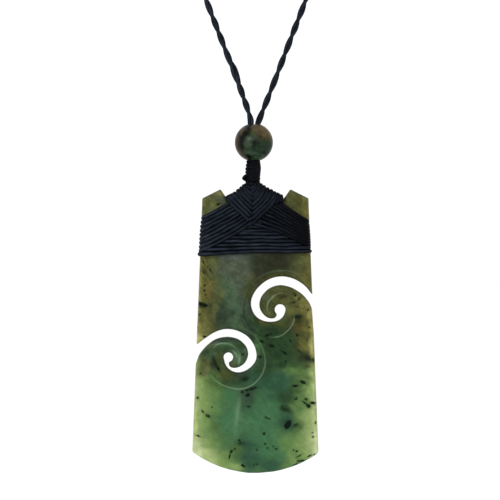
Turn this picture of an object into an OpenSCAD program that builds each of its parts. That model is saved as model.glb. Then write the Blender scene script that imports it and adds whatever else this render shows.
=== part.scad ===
// A jade necklace: an adze-shaped jade blade with two carved open spirals, lashed with waxed cord,
// a drilled jade bead above it, and a twisted neck cord worn as one whole loop.
// Millimetres. +Z is up, +X is the wearer's left, the front of the blade faces -Y.
// The origin is on the middle line of the neck cord where it lies on the nape of the neck.

/* [Jade blade] */
// Height from the tips of the two ears to the lowest point of the curved edge
blade_h = 85; // [80:0.5:90]
// Width across the outer corners of the two ears
ear_w = 31.9; // [31:0.1:33]
// Width at the two lower corners
foot_w = 38; // [37:0.1:42]
// Thickness where it is thickest, in the upper part
blade_t = 6; // [5.5:0.1:7]
// Thickness in the middle of the lower edge
edge_t = 2.2; // [2:0.1:3]
// Radius of the curved lower edge
edge_r = 30; // [28:0.5:40]
// How far the sides are cut in under the lashing
waist_cut = 2.5; // [2.3:0.1:2.8]

/* [Carved spirals] */
// Radius of the drilled eye of the upper right spiral
right_eye_r = 1.6; // [1.2:0.1:1.8]
// Radius of the drilled eye of the lower left spiral
left_eye_r = 1.4; // [1.2:0.1:1.8]
// Depth of the hollow ground around each spiral, on both faces
scoop_d = 0.35; // [0.2:0.05:0.6]

/* [Lashing] */
// Diameter of one strand of the waxed cord
strand_d = 1; // [0.8:0.05:1.1]
// Turns of the level winding, counted up the side
level_turns = 9; // [8:1:9]
// Slanting strands that show on each side of each face
slant_turns = 9; // [7:1:9]

/* [Stem and bead] */
// Radius of the whipped stem at its foot
stem_r = 2.3; // [2.1:0.05:2.5]
// Turns of the whipping on the stem
stem_turns = 7; // [5:1:9]
// Diameter of the round jade bead
bead_d = 11.5; // [10:0.1:13]
// Diameter of the hole drilled through the bead
bore_d = 4.4; // [4.4:0.1:4.8]

/* [Neck cord] */
// Diameter over both strands of the twisted neck cord
cord_d = 2; // [1.6:0.1:2]
// Depth from the nape forward to the middle of the blade
worn_depth = 115; // [110:1:120]
// Drop from the nape to the middle of the bead
worn_drop = 210; // [205:1:215]

/* [Hidden] */

gap = 0.1;                  // clearance between pieces that lie on each other
jade = [0.24, 0.38, 0.24];
waxed_black = [0.09, 0.10, 0.13];

// Heights on the pendant are measured from the ear tips, downwards negative
ear_z = -worn_drop - 14;    // height of the ear tips over the nape
ear_corner_z = -2.75;       // outer corner of an ear
saddle_z = -4.3;            // top of the blade between the ears, under the lashing
waist_top_z = -9;
waist_foot_z = -19.5;
corner_z = -(blade_h - edge_r + sqrt(pow(edge_r, 2) - pow(foot_w / 2, 2)));
waist_x = ear_w / 2 + 0.5 - waist_cut;
thick_z = -0.35 * blade_h;  // height at which the blade is thickest
along_r = pow(blade_h + thick_z, 2) / (blade_t - edge_t);   // radius of its face down its length
across_r = 240;             // and across its width

// Half the width of the blade at a height, its sides being straight
function side_x(z) = ear_w / 2 + (foot_w - ear_w) / 2 * (ear_corner_z - z) / (ear_corner_z - corner_z);

// How far the face stands before the blade's middle plane at a height, on the middle line
function face_y(z) = blade_t / 2 - pow(z - thick_z, 2) / (2 * along_r);

// Smooth curve through hand-chosen points, n steps to each stretch
function blend4(a, b, c, d, t) =
    (2 * b + (c - a) * t + (2 * a - 5 * b + 4 * c - d) * t * t + (3 * b - a - 3 * c + d) * t * t * t) / 2;
function smooth(p, n) = concat(
    [for (i = [0 : len(p) - 2], k = [0 : n - 1])
        blend4(p[max(i - 1, 0)], p[i], p[i + 1], p[min(i + 2, len(p) - 1)], k / n)],
    [p[len(p) - 1]]);
function flip(p) = [for (i = [len(p) - 1 : -1 : 0]) p[i]];
function mirror_x(p) = [for (q = p) [-q[0], q[1]]];

// Carved spirals. Each wall of the sawn slot is a table of [angle, radius] round the drilled eye,
// from the side of the blade over the top and down to the eye. Angles turn from the outward side.
right_eye = [7.4, -36.15];
left_eye = [-8.1, -50.4];
right_outer = [[16, 11.2], [25, 10.6], [45, 10.25], [68, 10.05], [90, 9.9], [112, 9.6], [135, 9.3],
    [155, 9.15], [170, 8.8], [185, 8.1], [200, 7.1], [215, 5.85], [232, 4.6], [256, 3.4], [282, 2.5],
    [315, 1.8], [350, 1.5]];
right_inner = [[-5, 10.4], [3, 9.55], [14, 9.0], [30, 8.3], [46, 7.75], [66, 7.45], [90, 7.4],
    [115, 7.2], [140, 6.9], [160, 6.6], [177, 6.1], [194, 5.3], [210, 4.6], [225, 3.8], [238, 2.9],
    [240, 1.5]];
left_outer = [[13, 11.2], [21, 10.2], [31, 9.4], [44, 8.75], [60, 8.5], [82, 8.45], [105, 8.33],
    [130, 8.4], [152, 8.45], [170, 8.45], [184, 8.3], [196, 7.75], [211, 6.9], [227, 6], [243, 5.05],
    [262, 3.85], [282, 2.75], [308, 1.8], [345, 1.3]];
left_inner = [[-18, 10.7], [-9, 9.75], [5, 8.8], [20, 7.8], [36, 7.1], [54, 6.65], [75, 6.25],
    [98, 6.1], [122, 6.2], [148, 6.25], [168, 6.1], [184, 5.7], [202, 5.15], [222, 4.4], [240, 3.75],
    [256, 3.15], [265, 2.5], [268, 1.3]];

// The slanting strands: each crosses the middle line a step higher than the one below it, and they
// fan a little steeper towards the top. Past the middle they climb to the shoulders
slant_step = 1.39;
slant_low_z = -9.7;
slant_rise = 0.56;
slant_fan = 0.013;
shoulder_rise = 0.95;
function slant_z(k, x) = slant_low_z + slant_step * k + (slant_rise + slant_fan * k) * x;

level_top_z = -9.9;
level_foot_z = -19.3;
level_foot_turns = 2;       // the lowest level turns are wound last, over the ends of the slanting ones
foot_top_z = level_foot_z + level_foot_turns * (level_top_z - level_foot_z) / level_turns;
level_x = waist_x + gap + strand_d - 0.1;
level_y = blade_t / 2 + gap + strand_d - 0.1;
slant_x = level_x + gap + strand_d - 0.1;
slant_y = level_y + gap + strand_d - 0.1;
foot_x = slant_x + gap + strand_d - 0.1;
groove = 0.5;               // side of the square bar that cuts a groove between two strands

roof_z = 2;                 // top of the lashing, where the stem stands
stem_x = -0.85;
bead_x = -0.45;
bead_z = 14;
stem_top_z = bead_z - bead_d / 2 + 1.6;
stem_neck_r = bore_d / 2 - 0.2;

// The worn loop: [half width, depth behind the blade, height over the bead's middle, share of the
// bead's sideways offset], from inside the bead up one leg and round to the nape
cord_half = [
    [1.03, 0, -3.8, 1], [1.03, 0, 4, 1], [1.03, 0.05, 5.4, 0.85], [1.75, 0.5, 8.2, 0.1],
    [4.95, 2.9, 16.5, 0], [9.7, 6.3, 29, 0], [17.3, 11.3, 49, 0], [29.6, 19.7, 82, 0],
    [42.3, 28.4, 116, 0], [54.3, 37, 149, 0], [61.3, 43.2, 169, 0], [65.4, 50, 184, 0],
    [66.8, 58.5, 194, 0], [65.3, 69, 201, 0], [61.5, 80, 205.5, 0], [55, 91, 208, 0],
    [46, 100, 209.2, 0], [34, 107.8, 209.8, 0], [18, 113.3, 210, 0]];
cord_route = concat(
    [for (q = cord_half) [q[0] + bead_x * q[3], q[1] - worn_depth, q[2] - worn_drop]],
    [[0, 0, 0]],
    [for (q = flip(cord_half)) [-q[0] + bead_x * q[3], q[1] - worn_depth, q[2] - worn_drop]]);
cord_sides = 8;
loop_normal = [0, 0.87, -0.49];   // square to the hanging loop, and never along the cord

module at_pendant() translate([0, -worn_depth, ear_z]) children();
module upright(t) rotate([90, 0, 0]) linear_extrude(height = t, center = true) children();

function polar_wall(table, eye, side) =
    [for (q = table) [eye[0] + side * q[1] * cos(q[0]), eye[1] + q[1] * sin(q[0])]];

module spiral_slot(eye, outer, inner, side, eye_r) {
    polygon(concat(smooth(polar_wall(outer, eye, side), 3), flip(smooth(polar_wall(inner, eye, side), 3))));
    translate(eye) circle(r = eye_r, $fn = 32);
}

// Half the blade's top, from the saddle over one ear and down into the waist, grown by g all round
function top_half(g) = [[7.5 - g, saddle_z + g], [8.8 - g, -2.3], [10.45, g], [ear_w / 2 + g, ear_corner_z + g],
    [side_x(waist_top_z) + g, waist_top_z - g], [waist_x + g, waist_top_z - g]];

function blade_half() = concat(top_half(0),
    [[waist_x, waist_foot_z], [side_x(waist_foot_z), waist_foot_z], [foot_w / 2 - 0.05, corner_z + 1],
     [foot_w / 2 - 0.5, corner_z - 0.3]],
    [for (k = [1 : 9]) let (a = 36 - 4 * k) [edge_r * sin(a), edge_r - blade_h - edge_r * cos(a)]]);

// The gently domed faces of the blade: a curved side profile, and a wide round across each face
module face_dome() intersection() {
    steps = 20;
    profile = [for (i = [0 : steps]) let (z = 1 - i * (blade_h + 2) / steps) [face_y(z), z]];
    rotate([90, 0, 90]) linear_extrude(height = 2 * foot_w, center = true)
        polygon(concat(profile, flip(mirror_x(profile))));
    wide_round(1);
    wide_round(-1);
}
module wide_round(side) translate([0, side * (across_r - blade_t / 2), -blade_h / 2])
    cylinder(r = across_r, h = 2 * blade_h, center = true, $fn = 360);

// The hollow ground round a spiral, cut into both faces
module scoop(centre, r) {
    for (side = [-1, 1])
        translate([centre[0], side * (face_y(centre[1]) + 1), centre[1]]) rotate([side * 90, 0, 0])
            cylinder(h = 1 + scoop_d, r1 = r + 1.5, r2 = r - 1, $fn = 64);
}

module jade_blade() color(jade) at_pendant() difference() {
    intersection() {
        upright(blade_t) difference() {
            polygon(concat(blade_half(), flip(mirror_x(blade_half()))));
            spiral_slot(right_eye, right_outer, right_inner, 1, right_eye_r);
            spiral_slot(left_eye, left_outer, left_inner, -1, left_eye_r);
        }
        face_dome();
    }
    scoop(right_eye + [-0.7, 1.8], 9.6);
    scoop(left_eye + [3.0, -1.2], 8.9);
}

// A flat oblong ring in plan, its four corners rounded
module round_plan(x, y, r) {
    square([2 * x, 2 * (y - r)], center = true);
    square([2 * (x - r), 2 * y], center = true);
    for (i = [-1, 1], j = [-1, 1]) translate([i * (x - r), j * (y - r)]) circle(r = r, $fn = 32);
}

// A straight square bar on edge, for a groove between two strands, from one point of a face to another
module groove_bar(from, to, y) translate([(from[0] + to[0]) / 2, y, (from[1] + to[1]) / 2])
    rotate([0, -atan2(to[1] - from[1], to[0] - from[0]), 0]) rotate([45, 0, 0])
        cube([norm(to - from), groove, groove], center = true);

// The same groove round a side, at a height
module side_groove(x, z, length) translate([x, 0, z]) rotate([0, 45, 0])
    cube([groove, length, groove], center = true);

module level_lashing() color(waxed_black) at_pendant() difference() {
    union() {
        translate([0, 0, level_foot_z]) linear_extrude(height = level_top_z - level_foot_z)
            round_plan(level_x, level_y, 1.6);
        translate([0, 0, level_foot_z]) linear_extrude(height = foot_top_z - level_foot_z)
            round_plan(foot_x, level_y, 2.2);
    }
    translate([0, 0, (level_top_z + level_foot_z) / 2])
        cube([2 * (waist_x + gap), blade_t + 2 * gap, 2 * (level_top_z - level_foot_z)], center = true);
    for (k = [1 : level_turns - 1], side = [-1, 1]) {
        z = level_foot_z + k * (level_top_z - level_foot_z) / level_turns;
        groove_bar([-foot_x - 1, z], [foot_x + 1, z], side * level_y);
        side_groove(side * (k < level_foot_turns ? foot_x : level_x), z, 2 * level_y + 2);
    }
}

// Front outline of the slanting windings: a roof between the ears, and an open wedge below
wedge_top_z = slant_low_z - 0.6;
wedge_foot_z = foot_top_z + gap;
wedge_foot_x = (wedge_top_z - wedge_foot_z) / slant_rise;
side_top_z = waist_top_z - 3 * gap;
slant_outline_right = [[1.4, roof_z], [2.7, 1], [4.6, 0], [6.2, -0.9], [8, -1.7], [8.75, -2.3],
    [8.2, -3.9], [slant_x - 0.55, side_top_z + 0.2], [slant_x, side_top_z], [slant_x, wedge_foot_z],
    [wedge_foot_x, wedge_foot_z], [0, wedge_top_z]];
slant_outline_left = [[-wedge_foot_x, wedge_foot_z], [-slant_x, wedge_foot_z], [-slant_x, side_top_z],
    [-slant_x + 0.75, side_top_z + 1.3], [-8.3, -3.7], [-8.7, -2.3], [-7.2, -1.6], [-4.6, 0.4],
    [-3.2, 1.5], [-3.1, roof_z]];

module slant_solid() intersection() {
    upright(2 * slant_y) polygon(concat(slant_outline_right, slant_outline_left));
    translate([0, 0, -20]) linear_extrude(height = 30) round_plan(slant_x, slant_y, 2.6);
    rotate([90, 0, 90]) linear_extrude(height = 60, center = true)
        polygon([[-2.4, roof_z + 1], [-2.6, roof_z], [-3.9, 0.6], [-4.7, -1.2], [-slant_y - 0.1, -3.2],
            [-slant_y - 0.1, -25], [slant_y + 0.1, -25], [slant_y + 0.1, -3.2], [4.7, -1.2], [3.9, 0.6],
            [2.6, roof_z], [2.4, roof_z + 1]]);
}

// The grooves of one family of strands, rising to +X: the lower half shows on the -X side, until it
// dives under the other family, and the upper half, past the middle line, on the +X side
module slant_grooves() for (k = [0 : slant_turns - 1]) {
    dive_x = -1.5 - 0.95 * k;
    shoulder_x = 8.6;
    low = [-slant_x, slant_z(k + 0.5, -slant_x)];
    rise = [0, slant_z(k + 0.5, 0)];
    for (face = [-1, 1]) {
        groove_bar(low, [dive_x, slant_z(k + 0.5, dive_x)], face * slant_y);
        groove_bar(rise, rise + shoulder_x * [1, shoulder_rise], face * slant_y);
    }
    side_groove(-slant_x, low[1], 2 * slant_y - 4);
}

module slant_lashing() color(waxed_black) at_pendant() difference() {
    slant_solid();
    upright(blade_t + 2 * gap)
        polygon(concat(top_half(gap), [[waist_x + gap, -25]], flip(mirror_x(concat(top_half(gap),
            [[waist_x + gap, -25]])))));
    translate([0, 0, level_top_z + gap - 10]) linear_extrude(height = 10)
        round_plan(level_x + gap, level_y + gap, 1.7);
    slant_grooves();
    mirror([1, 0, 0]) slant_grooves();
}

// The whipped stem: turns of cord side by side, with the knot's end standing out on one side
module stem_whipping() color(waxed_black) at_pendant() translate([stem_x, 0, 0]) {
    foot_z = roof_z + gap;
    collar_z = bead_z - bead_d / 2 + 0.2;
    turn = (collar_z - foot_z) / stem_turns;
    rotate_extrude($fn = 32) polygon(concat([[0, foot_z]],
        [for (k = [0 : stem_turns - 1], q = [[-0.25, 0.02], [0, 0.3], [0, 0.7], [-0.25, 0.98]])
            [stem_r - 0.3 * k / stem_turns + q[0], foot_z + turn * (k + q[1])]],
        [[0, collar_z]]));
    translate([bead_x - stem_x, 0, 0]) rotate_extrude($fn = 32)
        polygon([[0, foot_z + 1], [1.5, foot_z + 1], [stem_neck_r - 0.25, collar_z - 0.5],
            [stem_neck_r, collar_z + 0.2], [stem_neck_r, stem_top_z], [0, stem_top_z]]);
    translate([-stem_r + 0.1, 0, foot_z + 1.2]) sphere(r = 0.95, $fn = 32);
}

module jade_bead() color(jade) at_pendant() translate([bead_x, 0, bead_z]) difference() {
    sphere(d = bead_d, $fn = 64);
    cylinder(d = bore_d, h = bead_d + 2, center = true, $fn = 48);
}

// Rings along the cord's route, joined into one closed tube
module tube(route, r) {
    last = len(route) - 1;
    function along(i) = route[min(i + 1, last)] - route[max(i - 1, 0)];
    function unit(v) = v / norm(v);
    rings = [for (i = [0 : last]) let (u = unit(cross(along(i), loop_normal)), v = unit(cross(along(i), u)))
        for (s = [0 : cord_sides - 1]) let (a = 360 * s / cord_sides) route[i] + r * (cos(a) * u + sin(a) * v)];
    walls = [for (i = [0 : last - 1], s = [0 : cord_sides - 1]) let (t = (s + 1) % cord_sides)
        [i * cord_sides + s, (i + 1) * cord_sides + s, (i + 1) * cord_sides + t, i * cord_sides + t]];
    near_end = [for (s = [0 : cord_sides - 1]) s];
    far_end = [for (s = [cord_sides - 1 : -1 : 0]) last * cord_sides + s];
    polyhedron(points = rings, faces = concat([near_end, far_end], walls));
}

module neck_cord() color(waxed_black) tube(smooth(cord_route, 2), cord_d / 2);

jade_blade();
level_lashing();
slant_lashing();
stem_whipping();
jade_bead();
neck_cord();
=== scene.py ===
# %% [markdown]
# A jade necklace. A lapidary saws a slab of green stone into the shape of an adze blade, carves two
# open spirals through it and polishes it. Black waxed cord is lashed round the blade's waist and
# gathered in a whipped stem, which goes up into a round jade bead, and two strands twisted together
# make the loop for the neck.
# The construction model is loaded first. Each of its pieces says where the finished piece belongs, so
# the measures below are read from it and not typed in twice.

# %% Load the construction model
import math

import bpy
import numpy as np
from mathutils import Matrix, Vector, noise
from mathutils.kdtree import KDTree


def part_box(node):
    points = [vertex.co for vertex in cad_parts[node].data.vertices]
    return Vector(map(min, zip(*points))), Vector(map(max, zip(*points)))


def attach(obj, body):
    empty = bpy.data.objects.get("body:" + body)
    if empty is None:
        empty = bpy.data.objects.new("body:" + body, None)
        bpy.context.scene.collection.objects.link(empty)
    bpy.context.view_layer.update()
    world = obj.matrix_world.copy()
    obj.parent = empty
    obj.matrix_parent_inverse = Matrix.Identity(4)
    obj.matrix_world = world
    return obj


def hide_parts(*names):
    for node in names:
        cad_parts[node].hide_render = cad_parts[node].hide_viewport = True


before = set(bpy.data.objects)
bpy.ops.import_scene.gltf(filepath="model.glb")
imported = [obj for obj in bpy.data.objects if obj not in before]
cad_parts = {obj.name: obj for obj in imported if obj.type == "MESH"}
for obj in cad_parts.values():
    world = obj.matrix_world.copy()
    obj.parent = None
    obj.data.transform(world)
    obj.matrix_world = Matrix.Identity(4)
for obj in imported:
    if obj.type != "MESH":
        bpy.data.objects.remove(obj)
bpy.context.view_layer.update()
print("construction pieces:", ", ".join(sorted(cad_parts)))

# %% [markdown]
# A pendant is easiest to carve in its own measures: millimetres, with x to the right, z up from the
# tips of the two ears, and y from the middle of the blade's thickness towards the back. One short
# function turns such a place into metres in the shared frame.

# %% The pendant's own measures
MM = 0.001
blade_low, blade_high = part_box("jade_blade")
bead_low, bead_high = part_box("jade_bead")
ear_z = blade_high.z / MM
middle_y = (blade_low.y + blade_high.y) / 2 / MM
blade_height = (blade_high.z - blade_low.z) / MM
foot_half = blade_high.x / MM
half_thick = (blade_high.y - blade_low.y) / 2 / MM
bead_x = (bead_low.x + bead_high.x) / 2 / MM
bead_z = (bead_low.z + bead_high.z) / 2 / MM - ear_z
bead_r = (bead_high.x - bead_low.x) / 2 / MM


def place(x, z, y=0.0):
    """A point of the pendant, in millimetres, as metres in the shared frame."""
    return Vector((x * MM, (y + middle_y) * MM, (z + ear_z) * MM))


print(f"blade {2 * foot_half:.1f} x {2 * half_thick:.1f} x {blade_height:.1f} mm, bead {2 * bead_r:.1f} mm")

# %% [markdown]
# The photographer stood straight in front of the pendant with a long lens, so the picture has almost
# no perspective. The camera is made first, because everything else is judged through it.

# %% Camera
VIEW_WIDTH = 150.0        # millimetres of the pendant's plane that the picture shows
LENS = 150.0
SENSOR = 36.0
VIEW_MIDDLE = (-1.62, -18.27)

camera_data = bpy.data.cameras.new("portrait_camera")
camera_data.lens = LENS
camera_data.sensor_width = SENSOR
camera_data.clip_end = 20.0
camera = bpy.data.objects.new("portrait_camera", camera_data)
camera.location = place(*VIEW_MIDDLE, -VIEW_WIDTH * LENS / SENSOR)
camera.rotation_euler = (math.radians(90), 0, 0)
bpy.context.scene.collection.objects.link(camera)
bpy.context.scene.camera = camera
bpy.context.scene.view_settings.view_transform = "Standard"
print(f"camera {VIEW_WIDTH * LENS / SENSOR:.0f} mm in front of the blade")

# %% [markdown]
# Four small helpers keep the modelling steps short. Operators act on all that is selected, and the
# construction pieces come in selected, so each step first picks the one piece it works on.

# %% Bench tools
def pick(piece):
    """Leaves edit mode and selects this piece alone."""
    if bpy.context.object and bpy.context.object.mode != "OBJECT":
        bpy.ops.object.mode_set(mode="OBJECT")
    bpy.ops.object.select_all(action="DESELECT")
    piece.select_set(True)
    bpy.context.view_layer.objects.active = piece
    return piece


def finish_with(piece, kind, **settings):
    """Adds one modifier to the piece and applies it."""
    pick(piece)
    modifier = piece.modifiers.new(kind.title(), kind)
    for key, value in settings.items():
        setattr(modifier, key, value)
    bpy.ops.object.modifier_apply(modifier=modifier.name)
    return piece


def settle(piece):
    """Puts the object at the origin, with its place in its mesh."""
    pick(piece)
    bpy.ops.object.transform_apply(location=True, rotation=True, scale=True)
    return piece


def edit_points(piece, wanted):
    """Opens the piece in edit mode with only the wanted points selected."""
    pick(piece)
    bpy.ops.object.mode_set(mode="EDIT")
    bpy.ops.mesh.select_mode(type="VERT")
    bpy.ops.mesh.select_all(action="DESELECT")
    bpy.ops.object.mode_set(mode="OBJECT")
    for point in piece.data.vertices:
        point.select = wanted(point.co)
    bpy.ops.object.mode_set(mode="EDIT")


bpy.ops.object.select_all(action="DESELECT")
print("bench is clear")

# %% [markdown]
# The blade starts as a sawn slab, wider at the foot than at the top. A cube is added at the slab's
# size, and its top is narrowed with a resize in edit mode.

# %% Saw the slab
EAR_HALF = 15.95          # half the width over the outer corners of the ears
EAR_CORNER_Z = -2.75
EDGE_R = 32.0             # radius of the curved lower edge
EDGE_X = 0.2              # its middle lies a little right of the blade's
EDGE_SPARE = 0.15         # how much lower it is cut, because easing and smoothing take that off again
SLAB_THICK = 7.2          # a little more than the finished blade
slab_height = blade_height + EDGE_SPARE
edge_centre_z = EDGE_R - slab_height
foot_corner_z = edge_centre_z - math.sqrt(EDGE_R ** 2 - foot_half ** 2)


def side_x(z):
    """Half the width of the blade at a height. Its sides are straight."""
    share = (EAR_CORNER_Z - z) / (EAR_CORNER_Z - foot_corner_z)
    return EAR_HALF + (foot_half - EAR_HALF) * share


bpy.ops.mesh.primitive_cube_add(size=1, location=place(0, -slab_height / 2))
blade = bpy.context.object
blade.name = "polished_blade"
blade.scale = (2 * side_x(-slab_height) * MM, SLAB_THICK * MM, slab_height * MM)
settle(blade)
edit_points(blade, lambda spot: spot.z > place(0, -slab_height / 2).z)
bpy.ops.transform.resize(value=(side_x(0) / side_x(-slab_height), 1, 1), center_override=place(0, 0))
bpy.ops.object.mode_set(mode="OBJECT")
print(f"slab {2 * side_x(0):.1f} mm wide at the top, {2 * side_x(-slab_height):.1f} mm at the foot")

# %% [markdown]
# The outline is then ground to shape on a flat wheel: each touch of the wheel takes off what lies past
# one straight line. Bisect does the same. Two cuts slope the ears, and a fan of cuts that all touch one
# circle gives the curved lower edge.

# %% Grind the outline
def grind(piece, x, z, angle):
    """Cuts off what lies past a line through (x, z), in the direction of this angle from +x."""
    pick(piece)
    bpy.ops.object.mode_set(mode="EDIT")
    bpy.ops.mesh.select_all(action="SELECT")
    normal = (math.cos(angle), 0, math.sin(angle))
    bpy.ops.mesh.bisect(plane_co=place(x, z), plane_no=normal, use_fill=True, clear_outer=True)
    bpy.ops.object.mode_set(mode="OBJECT")


EAR_TIP_X = 10.45
EDGE_CUTS = 26
CORNER_SLOPE = 0.6        # slope of the cuts that ease the lower corners: 0 is the edge's own, 1 is upright
CORNER_IN = 0.2           # and how far in from the corner they start

ear_slope = math.atan2(EAR_HALF - EAR_TIP_X, -EAR_CORNER_Z)
for direction in (ear_slope, math.pi - ear_slope):
    grind(blade, math.copysign(EAR_HALF, math.cos(direction)), EAR_CORNER_Z, direction)
edge_turn = math.asin(foot_half / EDGE_R)
for cut in range(EDGE_CUTS + 1):
    turn = -math.pi / 2 + edge_turn * (2 * cut / EDGE_CUTS - 1)
    grind(blade, EDGE_X + EDGE_R * math.cos(turn), edge_centre_z + EDGE_R * math.sin(turn), turn)
for side in (-1, 1):
    turn = -math.pi / 2 + side * (edge_turn + (math.pi / 2 - edge_turn) * CORNER_SLOPE)
    grind(blade, side * (foot_half - CORNER_IN), foot_corner_z, turn)
print(f"outline has {len(blade.data.vertices) // 2} corners")

# %% [markdown]
# Between the ears the top is sawn out, and under the lashing the sides are cut in, so that the cord
# can't slip. Both are cut with plain blocks and the Boolean modifier, as a saw would.

# %% Saw the notch and the waist
def cut_away(piece, cutter):
    """Takes the cutter's shape out of the piece, and throws the cutter away."""
    finish_with(piece, "BOOLEAN", operation="DIFFERENCE", solver="EXACT", object=cutter)
    bpy.data.objects.remove(cutter)


THROUGH = 3 * SLAB_THICK  # depth of a cutter that goes right through the slab


def block(x_low, x_high, z_low, z_high):
    """A block right through the blade's thickness."""
    bpy.ops.mesh.primitive_cube_add(size=1, location=place((x_low + x_high) / 2, (z_low + z_high) / 2))
    saw = bpy.context.object
    saw.scale = ((x_high - x_low) * MM, THROUGH * MM, (z_high - z_low) * MM)
    return settle(saw)


SADDLE_Z = -4.3           # bottom of the notch between the ears
SADDLE_HALF = 7.5
NOTCH_TOP = 2.0           # the notch's block stands this far above the ears
LEFT_WAIST = (-19.4, -8.7)      # lower and upper end of the cut
RIGHT_WAIST = (-18.3, -9.4)
WAIST_HALF = 13.95

notch_slope = (EAR_TIP_X - SADDLE_HALF) / -SADDLE_Z
notch = block(-SADDLE_HALF, SADDLE_HALF, SADDLE_Z, NOTCH_TOP)
edit_points(notch, lambda spot: spot.z > place(0, 0).z)
bpy.ops.transform.resize(value=(1 + notch_slope * (NOTCH_TOP - SADDLE_Z) / SADDLE_HALF, 1, 1),
                         center_override=place(0, 0))
bpy.ops.object.mode_set(mode="OBJECT")
cut_away(blade, notch)
cut_away(blade, block(-2 * WAIST_HALF, -WAIST_HALF, *LEFT_WAIST))
cut_away(blade, block(WAIST_HALF, 2 * WAIST_HALF, *RIGHT_WAIST))
print(f"waist {2 * WAIST_HALF:.1f} mm wide")

# %% [markdown]
# Each spiral is a drilled eye, and a slot sawn from it out to the side, which widens as it unrolls. The two
# walls of a slot are charted as an angle round the eye and a distance from it. A grid that is one cell wide is
# laid between the two walls and thickened into a cutter.
# A boolean with this cutter is cleaner than pulling the slot into the outline point by point, because
# the same cutter goes right through both faces.

# %% Chart the spirals
CURVE_STEP = 0.05         # how finely a curve is worked out between two charted points
RIGHT = {
    "eye": (7.4, -36.15), "eye_r": 1.6, "side": 1,
    "outer": [(16, 11.2), (25, 10.6), (45, 10.25), (68, 10.05), (90, 9.9), (112, 9.6), (135, 9.3), (155, 9.15),
              (170, 8.8), (185, 8.1), (200, 7.1), (215, 5.85), (232, 4.6), (256, 3.4), (282, 2.5), (315, 1.8),
              (350, 1.5)],
    "inner": [(-5, 10.4), (3, 9.55), (14, 9.0), (30, 8.3), (46, 7.75), (66, 7.45), (90, 7.4), (115, 7.2),
              (140, 6.9), (160, 6.6), (177, 6.1), (194, 5.3), (210, 4.6), (225, 3.8), (238, 2.9), (240, 1.5)],
}
LEFT = {
    "eye": (-8.1, -50.4), "eye_r": 1.4, "side": -1,
    "outer": [(13, 11.2), (21, 10.2), (31, 9.4), (44, 8.75), (60, 8.5), (82, 8.45), (105, 8.33), (130, 8.4),
              (152, 8.45), (170, 8.45), (184, 8.3), (196, 7.75), (211, 6.9), (227, 6.0), (243, 5.05),
              (262, 3.85), (282, 2.75), (308, 1.8), (345, 1.3)],
    "inner": [(-18, 10.7), (-9, 9.75), (5, 8.8), (20, 7.8), (36, 7.1), (54, 6.65), (75, 6.25), (98, 6.1),
              (122, 6.2), (148, 6.25), (168, 6.1), (184, 5.7), (202, 5.15), (222, 4.4), (240, 3.75),
              (256, 3.15), (265, 2.5), (268, 1.3)],
}


def smooth_curve(points, count):
    """Evenly spaced points on a smooth curve through given ones."""
    points = np.array(points, float)
    before = np.vstack([points[:1], points[:-1]])
    after = np.vstack([points[1:], points[-1:]])
    beyond = np.vstack([points[2:], points[-1:], points[-1:]])
    rows = []
    for a, b, c, d in zip(before[:-1], points[:-1], after[:-1], beyond[:-1]):
        for t in np.arange(0, 1, CURVE_STEP):
            rows.append((2 * b + (c - a) * t + (2 * a - 5 * b + 4 * c - d) * t * t
                         + (3 * b - a - 3 * c + d) * t ** 3) / 2)
    rows = np.array(rows + [points[-1]])
    walked = np.concatenate([[0], np.cumsum(np.linalg.norm(np.diff(rows, axis=0), axis=1))])
    stops = np.linspace(0, walked[-1], count)
    return np.column_stack([np.interp(stops, walked, column) for column in rows.T])


def polar_wall(spiral, wall):
    """A charted wall as points (x, z)."""
    (eye_x, eye_z), side = spiral["eye"], spiral["side"]
    return [(eye_x + side * r * math.cos(math.radians(a)), eye_z + r * math.sin(math.radians(a)))
            for a, r in spiral[wall]]


print("spirals round", RIGHT["eye"], "and", LEFT["eye"])

# %% Saw the two spirals
SLOT_STATIONS = 90
EYE_SIDES = 64
FILED_X = 16.8            # the right tongue's outer corner is filed back to here
FILED_LOW, FILED_HIGH = -47.0, -33.2
FILED_SLANT = 1.0         # the lower end of the filed stretch lies this much further out


def saw_spiral(spiral):
    """Cuts one spiral slot and its drilled eye through the blade."""
    bpy.ops.mesh.primitive_grid_add(x_subdivisions=SLOT_STATIONS - 1, y_subdivisions=1, size=1)
    cutter = bpy.context.object
    walls = [smooth_curve(polar_wall(spiral, wall), SLOT_STATIONS) for wall in ("outer", "inner")]
    columns = np.unique([round(v.co.x, 5) for v in cutter.data.vertices])
    for point in cutter.data.vertices:
        station = int(np.argmin(abs(columns - point.co.x)))
        point.co = place(*walls[int(point.co.y > 0)][station])
    finish_with(cutter, "SOLIDIFY", thickness=THROUGH * MM, offset=0)
    bpy.ops.object.mode_set(mode="EDIT")
    bpy.ops.mesh.select_all(action="SELECT")
    bpy.ops.mesh.normals_make_consistent(inside=False)
    bpy.ops.object.mode_set(mode="OBJECT")
    cut_away(blade, cutter)
    bpy.ops.mesh.primitive_cylinder_add(vertices=EYE_SIDES, radius=spiral["eye_r"] * MM, depth=THROUGH * MM,
                                        location=place(*spiral["eye"]), rotation=(math.radians(90), 0, 0))
    cut_away(blade, settle(bpy.context.object))


for spiral in (RIGHT, LEFT):
    saw_spiral(spiral)
filing = block(FILED_X, 2 * foot_half, FILED_LOW, FILED_HIGH)
edit_points(filing, lambda spot: spot.z < place(0, (FILED_LOW + FILED_HIGH) / 2).z)
bpy.ops.transform.translate(value=(FILED_SLANT * MM, 0, 0))
bpy.ops.object.mode_set(mode="OBJECT")
cut_away(blade, filing)
print(f"after sawing, {len(blade.data.polygons)} faces")

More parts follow.
